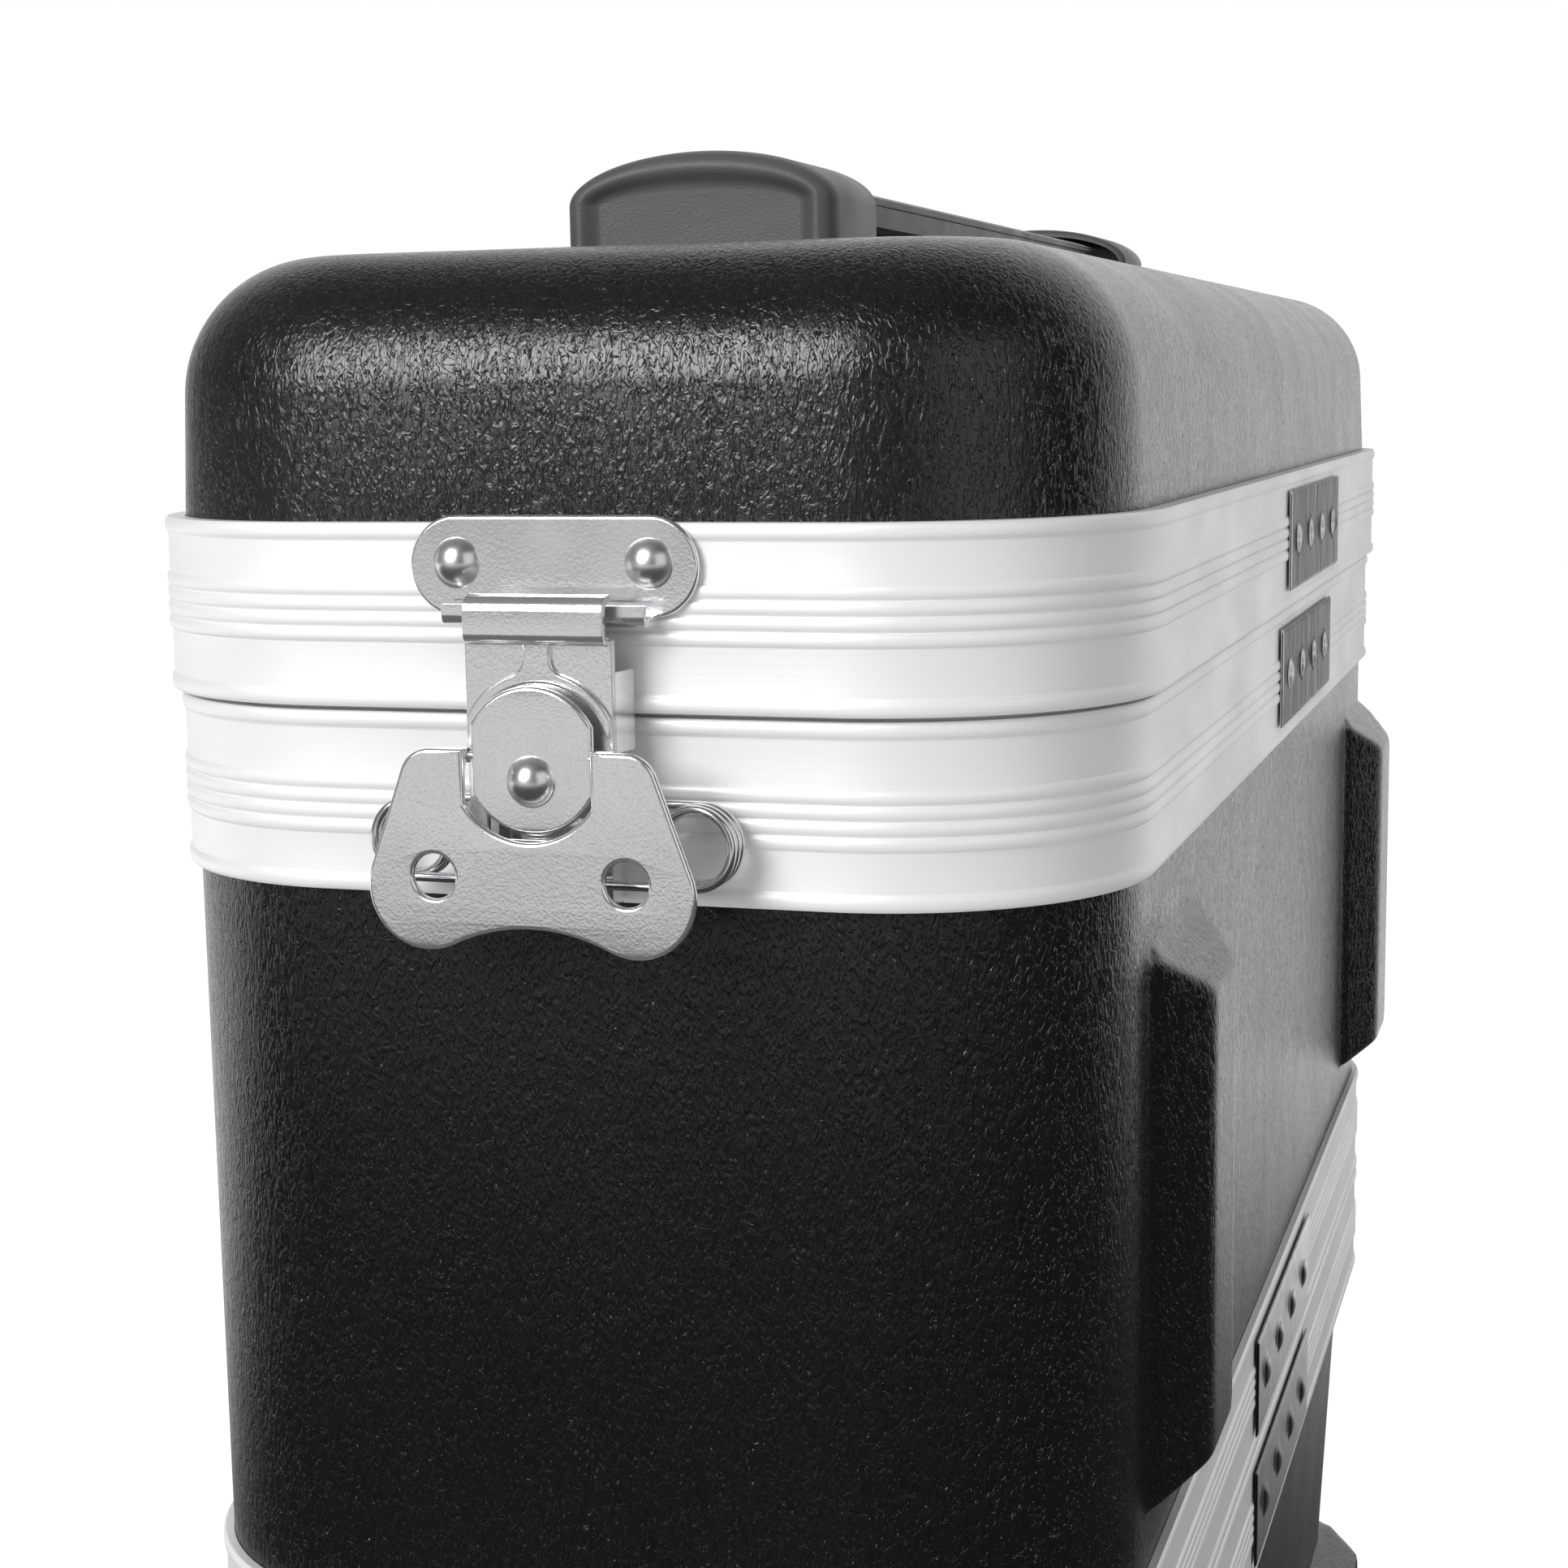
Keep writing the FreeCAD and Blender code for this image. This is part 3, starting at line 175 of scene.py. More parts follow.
def grid_faces(rows, cols, close_rows, close_cols):
    """Quads of a grid of rows by cols points, wrapped round where it is closed."""
    i = np.arange(rows if close_rows else rows - 1)
    j = np.arange(cols if close_cols else cols - 1)
    a, b = np.meshgrid(i, j, indexing="ij")
    a1 = (a + 1) % rows
    b1 = (b + 1) % cols
    return np.stack([a * cols + b, a * cols + b1, a1 * cols + b1, a1 * cols + b], axis=-1).reshape(-1, 4)


def new_piece(name, points, faces, body, material, sharp, lengths=None):
    """A mesh from points and faces, closed where points meet, with outward faces and edges that are sharp
    past an angle in degrees; lengths become its UV map in metres, one pair for each point."""
    mesh = bpy.data.meshes.new(name)
    mesh.from_pydata(points.reshape(-1, 3).tolist(), [], faces)
    if lengths is not None:
        layer = mesh.uv_layers.new(name="lengths")
        index = np.empty(len(mesh.loops), dtype=np.int32)
        mesh.loops.foreach_get("vertex_index", index)
        layer.data.foreach_set("uv", lengths.reshape(-1, 2)[index].astype(np.float32).ravel())
    work = bmesh.new()
    work.from_mesh(mesh)
    bmesh.ops.remove_doubles(work, verts=work.verts, dist=WELD)
    bmesh.ops.dissolve_degenerate(work, dist=SLIVER, edges=work.edges)
    bmesh.ops.recalc_face_normals(work, faces=work.faces)
    work.to_mesh(mesh)
    work.free()
    mesh.polygons.foreach_set("use_smooth", np.ones(len(mesh.polygons), dtype=bool))
    mesh.set_sharp_from_angle(angle=math.radians(sharp))
    piece = bpy.data.objects.new(name, mesh)
    bpy.context.scene.collection.objects.link(piece)
    mesh.materials.append(material)
    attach(piece, body)
    return piece


def stand_for(piece, slot, *nodes):
    """The piece is shown instead of these solids, which are hidden; slot is not used."""
    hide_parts(*nodes)


def outline_lengths(points):
    """Distances along the two directions of a grid, from its first row and column, in metres."""
    down = np.linalg.norm(np.diff(points, axis=0), axis=-1)
    along = np.linalg.norm(np.diff(points, axis=1), axis=-1)
    v = np.concatenate([np.zeros((1, points.shape[1])), np.cumsum(down, axis=0)])
    middle = along[along.shape[0] // 2]
    u = np.broadcast_to(np.concatenate([[0.0], np.cumsum(middle)])[None, :], v.shape)
    return np.stack([u, v], axis=-1)


def revolve(profile, turns):
    """Turn a profile of (radius, height) pairs about the axis of height: P = (r cos a, r sin a, h)."""
    a = np.linspace(0, 2 * np.pi, turns, endpoint=False)
    r = profile[:, 0][:, None]
    h = np.broadcast_to(profile[:, 1][:, None], (len(profile), turns))
    return np.stack([r * np.cos(a), r * np.sin(a), h], axis=-1), grid_faces(len(profile), turns, False, True)


def tube(path, radius, sides=14):
    """Carry a circle along a path: with tangent t and the case's length axis y, b = y - (y.t) t and n = b x t
    span the circle, so P = C + radius (cos a n + sin a b). The ends are closed."""
    t = np.gradient(path, axis=0)
    t /= np.linalg.norm(t, axis=1)[:, None]
    y = np.array([0.0, 1.0, 0.0])
    b = y - (t @ y)[:, None] * t
    b /= np.linalg.norm(b, axis=1)[:, None]
    n = np.cross(b, t)
    a = np.linspace(0, 2 * np.pi, sides, endpoint=False)
    ring = np.cos(a)[None, :, None] * n[:, None, :] + np.sin(a)[None, :, None] * b[:, None, :]
    points = path[:, None, :] + radius * ring
    faces = grid_faces(len(path), sides, False, True)
    last = (len(path) - 1) * sides
    caps = [list(range(sides)), list(range(last, last + sides))]
    return points, faces, caps


def flat_mesh(loops, thick, bevel):
    """Points and faces of a flat outline with holes, thickened about its own plane with rounded edges: the
    outline is a filled curve, set in by the rounding and carried through the thickness."""
    curve = bpy.data.curves.new("outline", "CURVE")
    curve.dimensions = "2D"
    curve.fill_mode = "BOTH"
    curve.extrude = thick / 2 - bevel
    curve.bevel_depth = bevel
    curve.bevel_resolution = 3
    curve.offset = -bevel
    for loop in loops:
        spline = curve.splines.new("POLY")
        spline.points.add(len(loop) - 1)
        spline.points.foreach_set("co", np.c_[loop, np.zeros(len(loop)), np.ones(len(loop))].ravel())
        spline.use_cyclic_u = True
    holder = bpy.data.objects.new("outline", curve)
    bpy.context.scene.collection.objects.link(holder)
    graph = bpy.context.evaluated_depsgraph_get()
    mesh = bpy.data.meshes.new_from_object(holder.evaluated_get(graph))
    points = np.empty(len(mesh.vertices) * 3)
    mesh.vertices.foreach_get("co", points)
    faces = [list(p.vertices) for p in mesh.polygons]
    bpy.data.objects.remove(holder)
    bpy.data.curves.remove(curve)
    bpy.data.meshes.remove(mesh)
    return points.reshape(-1, 3), faces


def flat_piece(name, parts, body, material, sharp=35.0):
    """One piece from several (points, faces) parts that are already in place."""
    points = np.concatenate([p for p, f in parts])
    faces = []
    start = 0
    for p, f in parts:
        faces += [[start + k for k in face] for face in f]
        start += len(p)
    return new_piece(name, points, faces, body, material, sharp=sharp)


def stamped_piece(name, parts, body, material):
    """A piece of sheet metal: its flats stay flat to the eye and only the rounded edges turn the light."""
    piece = flat_piece(name, parts, body, material)
    piece.modifiers.new("flats", "WEIGHTED_NORMAL").keep_sharp = True
    return piece


def arc(cx, cy, radius, start, stop, steps):
    """Points of a circular arc, angles in degrees."""
    a = np.radians(np.linspace(start, stop, steps))
    return np.stack([cx + radius * np.cos(a), cy + radius * np.sin(a)], axis=-1)


def rounded_loop(half_x, half_y, radius, steps, x=0.0, y=0.0):
    """A rectangle with round corners as a loop of points."""
    kx, ky = half_x - radius, half_y - radius
    return np.concatenate([arc(x + kx, y + ky, radius, 0, 90, steps),
                           arc(x - kx, y + ky, radius, 90, 180, steps),
                           arc(x - kx, y - ky, radius, 180, 270, steps),
                           arc(x + kx, y - ky, radius, 270, 360, steps)])


def closed_slab(face, back):
    """Points and faces of a slab between two grids of one size: both grids, and a band from rim to rim."""
    rows, cols = face.shape[:2]
    count = rows * cols
    front = grid_faces(rows, cols, False, False)
    rim = np.r_[np.arange(cols), np.arange(1, rows) * cols + cols - 1,
                np.arange(cols - 2, -1, -1) + (rows - 1) * cols, np.arange(rows - 2, 0, -1) * cols]
    ahead = np.roll(rim, -1)
    band = np.stack([rim, ahead, ahead + count, rim + count], axis=-1)
    points = np.concatenate([face.reshape(-1, 3), back.reshape(-1, 3)])
    return points, np.concatenate([front, band, front[:, ::-1] + count]).tolist()


def from_edge(u, v, low, high):
    """Distance of each point (u, v) from the nearest side of a rectangle."""
    return np.minimum(np.minimum(u - low[0], high[0] - u), np.minimum(v - low[1], high[1] - v))


# Finishes: patterns are in repeats per metre, bump distances in metres

RUBBER_BLACK = (0.018, 0.018, 0.019, 1)
PANEL_BLACK = (0.03, 0.03, 0.031, 1)
# Painted reflection on the splice plates: how soft the edges of the painted streaks are, and how light their
# painted shade is
PAINTED_STREAK_SOFT, PAINTED_STREAK_SHADE = 0.12, 0.3


def fresh(name):
    """A node material with its shader, ready for more nodes."""
    material = bpy.data.materials.new(name)
    material.use_nodes = True
    tree = material.node_tree
    return material, tree, tree.nodes["Principled BSDF"]


def add(tree, kind, links=None, **values):
    """Add a node, set its properties, and set or link its inputs."""
    node = tree.nodes.new(kind)
    for key, value in values.items():
        setattr(node, key, value)
    for key, value in (links or {}).items():
        if isinstance(value, bpy.types.NodeSocket):
            tree.links.new(value, node.inputs[key])
        else:
            node.inputs[key].default_value = value
    return node


def ramp(tree, source, stops):
    """Ramp of greys with (place, grey) stops."""
    node = add(tree, "ShaderNodeValToRGB", {"Fac": source})
    while len(node.color_ramp.elements) < len(stops):
        node.color_ramp.elements.new(0.5)
    for element, (place, grey) in zip(node.color_ramp.elements, stops):
        element.position = place
        element.color = (grey, grey, grey, 1)
    return node.outputs["Color"]


def spread(tree, scale, source="Object"):
    """Object or UV coordinates, stretched."""
    coords = add(tree, "ShaderNodeTexCoord")
    inputs = {"Vector": coords.outputs[source], "Scale": scale}
    return add(tree, "ShaderNodeMapping", inputs).outputs["Vector"]


def noise(tree, scale, detail, source="Object", **more):
    """Cloudy pattern, stretched for each axis; more sets the noise's other inputs."""
    inputs = {"Vector": spread(tree, scale, source), "Scale": 1.0, "Detail": detail}
    return add(tree, "ShaderNodeTexNoise", {**inputs, **more}).outputs["Fac"]


def bumped(tree, height, strength, distance):
    """The surface's direction, tilted by a pattern of heights."""
    inputs = {"Height": height, "Strength": strength, "Distance": distance}
    return add(tree, "ShaderNodeBump", inputs).outputs["Normal"]


def lifted(colour, lift):
    """The colour, that many times as light, and white at most."""
    return tuple(min(1.0, c * lift) for c in colour[:3]) + (1,)


def tinted(tree, colour, factor, lift):
    """The colour, lightened by a pattern."""
    mix = add(tree, "ShaderNodeMix", {"Factor": factor}, data_type="RGBA")
    mix.inputs["A"].default_value = tuple(colour)
    mix.inputs["B"].default_value = lifted(colour, lift)
    return mix.outputs["Result"]


def dress(tree, shader, colour, rough, normal=None):
    """Link the patterns of colour and roughness, and a bumped direction where there is one, to the shader."""
    tree.links.new(colour, shader.inputs["Base Color"])
    tree.links.new(rough, shader.inputs["Roughness"])
    if normal is not None:
        tree.links.new(normal, shader.inputs["Normal"])


def grained_shell():
    """Black moulded plastic with a leather-like grain drawn out along the height, its creases painted darker
    than its crests as shade.
    """
    material, tree, shader = fresh("grained_shell")
    shader.inputs["Specular IOR Level"].default_value = 0.7
    creases = noise(tree, (700, 700, 290), 2.0, Roughness=0.45, Distortion=1.6)
    grain_and_painted_crease_shade = ramp(tree, creases, [(0.42, 0.0), (0.47, 0.8), (0.7, 1.0)])
    dust = ramp(tree, noise(tree, (2400, 2400, 1700), 2.0), [(0.3, 0.0), (0.7, 0.035)])
    height = add(tree, "ShaderNodeMath", {0: grain_and_painted_crease_shade, 1: dust}, operation="ADD").outputs[0]
    gloss = ramp(tree, noise(tree, (26, 26, 14), 2.0), [(0.3, 0.22), (0.7, 0.28)])
    # The grain's crests are lighter in colour and its creases darker: painted shade in the creases
    colour = tinted(tree, colours().shell, grain_and_painted_crease_shade, 1.5)
    dress(tree, shader, colour, gloss, bumped(tree, height, 0.85, sizes().grain))
    return material


def soft_handle(name="soft_handle", lift=1.0, grain=0.00012):
    """Charcoal plastic with a fine dull texture."""
    material, tree, shader = fresh(name)
    shader.inputs["Specular IOR Level"].default_value = 0.4
    cloud = noise(tree, (55, 55, 55), 3.0)
    speck = noise(tree, (2600, 2600, 2600), 1.0)
    gloss = ramp(tree, cloud, [(0.3, 0.36), (0.7, 0.50)])
    colour = tinted(tree, lifted(colours().handle, lift), cloud, 1.5)
    dress(tree, shader, colour, gloss, bumped(tree, speck, 0.6, grain))
    return material


def extruded_aluminium():
    """Satin aluminium with faint die lines along its length and a soft cloud of handling marks."""
    material, tree, shader = fresh("extruded_aluminium")
    shader.inputs["Metallic"].default_value = 0.3
    lines = noise(tree, (5, 2600, 1), 3.0, "UV")
    gloss = ramp(tree, noise(tree, (28, 28, 70), 4.0), [(0.3, 0.42), (0.7, 0.54)])
    colour = tinted(tree, colours().valance, lines, 1.06)
    dress(tree, shader, colour, gloss, bumped(tree, lines, 0.25, 0.00006))
    return material


def satin_plate():
    """Blasted and plated steel: a fine speckle under a satin metal."""
    material, tree, shader = fresh("satin_plate")
    shader.inputs["Metallic"].default_value = 0.92
    speck = noise(tree, (1800, 1800, 1800), 2.0)
    gloss = ramp(tree, noise(tree, (60, 60, 60), 3.0), [(0.3, 0.16), (0.7, 0.21)])
    colour = tinted(tree, colours().latch, speck, 1.2)
    dress(tree, shader, colour, gloss, bumped(tree, speck, 0.45, 0.00006))
    return material


def bright_plate(name, rough, lift=1.0):
    """Bright plated metal with the faintest waviness and a few dull patches."""
    material, tree, shader = fresh(name)
    shader.inputs["Metallic"].default_value = 1.0
    wave = noise(tree, (210, 210, 210), 2.0)
    gloss = ramp(tree, wave, [(0.3, rough), (0.7, rough + 0.08)])
    colour = tinted(tree, lifted(colours().bright, lift), wave, 1.08)
    dress(tree, shader, colour, gloss, bumped(tree, wave, 0.15, 0.0001))
    return material


def staked_plate(name, streak, stake, edge):
    """Bright plated sheet that buckles a little, with light and dark streaks of the room's reflection painted
    into
    its colour along its height: bright where the noise is above the level of the painted streaks and a
    painted shade below it. The flanks of a stake, which turn away from the plate's own side, get a painted
    reflection as bright as stake says; edge tints what the plate mirrors at a low angle, a painted shade
    where it is dark."""
    material, tree, shader = fresh(name)
    shader.inputs["Metallic"].default_value = 1.0
    shader.inputs["Specular Tint"].default_value = (edge, edge, edge, 1)
    coords = add(tree, "ShaderNodeTexCoord")
    # The stakes' flanks are found from the object's normal and given a painted reflection, as bright as stake
    # says
    slope = add(tree, "ShaderNodeSeparateXYZ", {0: coords.outputs["Normal"]}).outputs["X"]
    flank = ramp(tree, slope, [(0.91, 1.0), (0.985, 0.0)])
    wave = noise(tree, (60, 58, 34), 2.0, Distortion=1.3)
    # Light and dark streaks of a reflection of the room, painted into the colour
    streaks = ramp(tree, wave, [(max(0.0, streak - PAINTED_STREAK_SOFT), PAINTED_STREAK_SHADE), (streak + PAINTED_STREAK_SOFT, 1.0)])
    light = add(tree, "ShaderNodeMix", {"Factor": flank, "A": streaks, "B": stake}).outputs["Result"]
    colour = add(tree, "ShaderNodeMix", {"Factor": light}, data_type="RGBA")
    colour.inputs["A"].default_value = colours().dark
    colour.inputs["B"].default_value = colours().bright
    gloss = ramp(tree, wave, [(0.3, 0.1), (0.7, 0.2)])
    dress(tree, shader, colour.outputs["Result"], gloss, bumped(tree, wave, 0.5, 0.0006))
    return material


def dull_rubber():
    """Black rubber with a dusty bloom."""
    material, tree, shader = fresh("dull_rubber")
    dust = noise(tree, (300, 300, 300), 4.0)
    dress(tree, shader, tinted(tree, RUBBER_BLACK, dust, 1.8), ramp(tree, dust, [(0.3, 0.6), (0.7, 0.78)]))
    return material


def open_foam():
    """Charcoal open-cell foam: small pores in a dull sponge, sunk by the bump and painted darker as shade."""
    material, tree, shader = fresh("open_foam")
    shader.inputs["Specular IOR Level"].default_value = 0.15
    cells = add(tree, "ShaderNodeTexVoronoi", {"Vector": spread(tree, (900, 900, 900)), "Scale": 1.0})
    pore_depth_and_painted_shade = ramp(tree, cells.outputs["Distance"], [(0.08, 0.0), (0.5, 1.0)])
    gloss = ramp(tree, noise(tree, (40, 40, 40), 3.0), [(0.3, 0.86), (0.7, 0.97)])
    # Pores are darker in colour: painted shade in the pores
    dress(tree, shader, tinted(tree, colours().foam, pore_depth_and_painted_shade, 1.9), gloss, bumped(tree, pore_depth_and_painted_shade, 0.8, 0.0004))
    return material


def plain_panel():
    """Flat black panel with a fine matt tooth."""
    material, tree, shader = fresh("plain_panel")
    tooth = noise(tree, (700, 700, 700), 3.0)
    gloss = ramp(tree, tooth, [(0.3, 0.5), (0.7, 0.62)])
    dress(tree, shader, tinted(tree, PANEL_BLACK, tooth, 1.5), gloss, bumped(tree, tooth, 0.4, 0.0002))
    return material


FINISHES = {}


def finish(name):
    """Each finish is made once and shared."""
    makers = {"shell": grained_shell, "handle": soft_handle, "valance": extruded_aluminium,
              "latch": satin_plate, "rubber": dull_rubber, "foam": open_foam, "panel": plain_panel,
              "handle_panel": lambda: soft_handle("handle_panel", lift=0.7, grain=0.0003),
              # Both splice looks paint a reflection into the colour: dark streaks with bright flanks at the
              # upper parting, bright with dark stake flanks at the lower
              "splice_painted_dark": lambda: staked_plate("splice_painted_dark", streak=0.52, stake=1.0, edge=0.17),
              "splice": lambda: staked_plate("splice_plate", streak=0.1, stake=0.0, edge=0.9),
              "spring": lambda: bright_plate("spring_wire", rough=0.14),
              "rivet": lambda: bright_plate("rivet_head", rough=0.26, lift=1.12),
              "screw": lambda: bright_plate("screw_head", rough=0.28, lift=0.85)}
    if name not in FINISHES:
        FINISHES[name] = makers[name]()
    return FINISHES[name]


# Shells

BUMP_PLACES = (-172 * MM, 198 * MM)
BUMP_HALF = 15.5 * MM
BUMP_SLOPE = 17 * MM
BUMP_SLOPE_TOP = 10 * MM
BUMP_SLOPE_LOW = 7 * MM
BASE_SLOPE_TOP = 5 * MM
# Sharpness of a bump's corners and of its bends, its reach behind the face and how soon it joins the face
BUMP_SOFT, BUMP_EASE, BUMP_REACH, BUMP_JOIN = 14.0, 13.0, 14 * MM, 5
BUMP_CLIP = (-2, 4)
BODY_BUMP_LOW = 12 * MM
BODY_BUMP_TOP = 17.5 * MM
BASE_BUMP_DROP = 105 * MM
BASE_BUMP_HEIGHT = 34 * MM
DRAFT_START = 36.5 * MM
EDGE_STEPS, INSIDE_STEPS, FLAT_STEPS = 36, 10, 6
FINE_REACH, FINE_ROWS, LEAST_STEP = 7 * MM, 24, 1e-5
LID_ROWS, BODY_ROWS, BASE_ROWS = 8, 60, 50


def smooth_step(t):
    """Rise from 0 to 1 as a ramp with both bends rounded: s = (ln(1 + e^kt) - ln(1 + e^k(t-1))) / k."""
    bend = np.logaddexp(0.0, BUMP_EASE * t) - np.logaddexp(0.0, BUMP_EASE * (t - 1))
    return bend / BUMP_EASE


def raise_bumps(points, low, high, slope_top, face_x, out):
    """Push the right wall out to stand-off bumps: with a the distance in from a bump's foot along y and b
    along z, each over its slope, the soft minimum m of a and b gives x = face + out * step(m). Points far
    behind the face stay where they are."""
    y, z = points[..., 1], points[..., 2]
    b = np.clip(np.minimum((z - low) / BUMP_SLOPE_LOW, (high - z) / slope_top), *BUMP_CLIP)
    for centre in BUMP_PLACES:
        a = np.clip((BUMP_HALF + BUMP_SLOPE - np.abs(y - centre)) / BUMP_SLOPE, *BUMP_CLIP)
        m = -np.log(np.exp(-BUMP_SOFT * a) + np.exp(-BUMP_SOFT * b)) / BUMP_SOFT
        rise = smooth_step(m)
        reach = np.clip(rise * BUMP_JOIN, 0, 1) * (points[..., 0] > face_x - BUMP_REACH)
        points[..., 0] += (face_x + out * rise - points[..., 0]) * reach


def closed_profile(inset, rim_z, far_z, edge, levels, lean, lean_from):
    """Profile of a shell with one closed end, from the middle of the outside over the rounded edge and along
    the wall's levels to the rim, then back along the inside. Past the height lean_from the wall leans in:
    inset(z) = inset + lean (z - lean_from) / (far - lean_from)."""
    size = sizes()
    up = 1.0 if far_z > rim_z else -1.0

    def leaning(z):
        return lean * np.maximum(0.0, (z - lean_from) / (far_z - lean_from))

    rings = []
    for deep, steps in ((0.0, EDGE_STEPS), (size.wall, INSIDE_STEPS)):
        end_z = far_z - up * deep
        radius = edge - deep
        flat = np.linspace(size.half_width, inset + lean + edge, FLAT_STEPS, endpoint=False)
        a = np.radians(np.linspace(90, 0, steps))
        curve_z = end_z - up * radius * (1 - np.sin(a))
        wall_z = levels if deep == 0.0 else levels[-1:]
        curve_i = inset + edge - radius * np.cos(a) + leaning(curve_z)
        wall_i = inset + deep + leaning(wall_z)
        rings.append((np.concatenate([flat, curve_i, wall_i]),
                      np.concatenate([np.full_like(flat, end_z), curve_z, wall_z])))
    (outer_i, outer_z), (inner_i, inner_z) = rings
    profile_i = np.concatenate([outer_i, inner_i[::-1]])
    profile_z = np.concatenate([outer_z, inner_z[::-1]])
    return profile_i, profile_z, len(outer_i)


def finer(low, high, places, rows):
    """Heights from low to high, closer together round the given places."""
    near = [np.linspace(place - FINE_REACH, place + FINE_REACH, FINE_ROWS) for place in places]
    levels = np.concatenate([np.linspace(low, high, rows)] + near)
    levels = np.unique(levels[(levels >= low) & (levels <= high)])
    return levels[np.r_[True, np.diff(levels) > LEAST_STEP]]


def skin(name, points, body, close=False):
    """A moulded shell from its grid of points."""
    faces = grid_faces(points.shape[0], points.shape[1], close, True)
    piece = new_piece(name + "_skin", points, faces.tolist(), body, finish("shell"), sharp=50)
    stand_for(piece, "shell", name + "_shell")


class CASE_OT_shells(bpy.types.Operator):
    """Lid, body and base shells: profiles carried round the case, with moulded stand-off bumps"""
    bl_idname = "case.shells"
    bl_label = "Moulded shells"

    def execute(self, context):
        size = sizes()
        outline = (size.half_width, size.half_length, size.corner)
        fine = walk(long_right=360, long_left=24, short=12, turn=18)
        self.make_lid(size, outline)
        self.make_body(size, outline, fine)
        self.make_base(size, outline, fine)
        return {"FINISHED"}

    def make_lid(self, size, outline):
        """Lid: a closed top whose wall leans in above the valance."""
        levels = np.linspace(LID_TOP.z - size.lid_edge, LID_LOW.z, LID_ROWS)[1:]
        start = UPPER_Z + size.valance
        inset, z, _ = closed_profile(0.0, LID_LOW.z, LID_TOP.z, size.lid_edge, levels, size.lid_draft, start)
        skin("lid", carry(inset, z, walk(), *outline), "lid")

    def make_body(self, size, outline, fine):
        """Body: an open tube with two tall bumps on its right wall."""
        low, high = BODY_BOX[0].z, BODY_BOX[1].z
        foot_low = LOWER_Z + size.valance + BODY_BUMP_LOW
        foot_high = UPPER_Z - size.valance - BODY_BUMP_TOP
        levels = finer(low, high, (foot_low, foot_high - BUMP_SLOPE_TOP), BODY_ROWS)
        wall = [size.wall, size.wall]
        body = carry(np.r_[np.zeros_like(levels), wall], np.r_[levels, high, low], fine, *outline)
        face_x = MID_X + size.half_width
        raise_bumps(body[:len(levels)], foot_low, foot_high, BUMP_SLOPE_TOP, face_x, size.bump_out)
        skin("body", body, "body", True)

    def make_base(self, size, outline, fine):
        """Base: a closed floor whose wall narrows below the valance, with two low bumps on its right wall."""
        floor_z, rim_z = BASE_BOX[0].z, BASE_BOX[1].z
        foot_high = LOWER_Z - size.valance - BASE_BUMP_DROP
        foot_low = foot_high - BASE_BUMP_HEIGHT
        start = LOWER_Z - DRAFT_START
        levels = finer(floor_z + size.base_edge, rim_z, (foot_high, start), BASE_ROWS)[1:]
        inset, z, rows = closed_profile(size.base_inset, rim_z, floor_z, size.base_edge, levels,
                                        size.base_draft, start)
        base = carry(inset, z, fine, *outline)
        face_x = MID_X + size.half_width
        face_x -= size.base_inset + size.base_draft * (start - foot_high) / (start - floor_z)
        raise_bumps(base[:rows], foot_low, foot_high, BASE_SLOPE_TOP, face_x, BASE_BOX[1].x - face_x)
        skin("base", base, "base")


# Valances

EDGE_GAP = 0.5 * MM
LIP = 3.2 * MM
BEAD_END, BEAD_STEPS = 0.999, 9
RIB_PITCH, RIB_START, RIB_GAP = 2.9 * MM, 12.9 * MM, 0.3 * MM
SEAT_PLAY = 0.1 * MM
WEB_LOW, WEB_TOP = 4.2 * MM, 6.0 * MM
LEG_IN, LEG_T, LEG_TOP = 4.1 * MM, 1.5 * MM, 16 * MM
TONGUE_IN, TONGUE_OUT, TONGUE_END = -3.0 * MM, -1.2 * MM, -2.2 * MM
GROOVE_IN, GROOVE_OUT = -3.8 * MM, -0.4 * MM


def valance_profile(proud, shell_in, tongue):
    """Profile of a valance as (out, up): bead lips as half ellipses, ribs out = flat + depth sqrt(1 - t^2)
    across each pitch, flats between, then the web, leg and tongue or groove behind."""
    size = sizes()
    depth = size.rib_depth
    flat = proud - depth
    height = size.valance
    ribs_end = RIB_START + RIB_PITCH * size.rib_count
    t = np.linspace(-BEAD_END, BEAD_END, BEAD_STEPS)
    bead = flat + depth * np.sqrt(1 - t ** 2)
    lower = np.c_[bead, EDGE_GAP + LIP / 2 + LIP / 2 * t]
    upper = np.c_[bead, height - LIP / 2 + LIP / 2 * t]
    ribs = [np.c_[bead, RIB_START + RIB_PITCH * (k + 0.5) + RIB_PITCH / 2 * t] for k in range(size.rib_count)]
    flat_low = [[flat, EDGE_GAP + LIP + RIB_GAP], [flat, RIB_START - RIB_GAP]]
    flat_top = [[flat, ribs_end + RIB_GAP], [flat, height - LIP - RIB_GAP]]
    seat = shell_in + SEAT_PLAY
    leg = shell_in - LEG_IN
    back = [[seat, height], [seat, WEB_TOP], [leg, WEB_TOP], [leg, LEG_TOP], [leg - LEG_T, LEG_TOP],
            [leg - LEG_T, EDGE_GAP]]
    inner, outer, end = (TONGUE_IN, TONGUE_OUT, TONGUE_END) if tongue else (GROOVE_IN, GROOVE_OUT, WEB_LOW)
    back += [[inner, EDGE_GAP], [inner, end], [outer, end], [outer, EDGE_GAP]]
    return np.concatenate([lower, flat_low, *ribs, flat_top, upper, back])


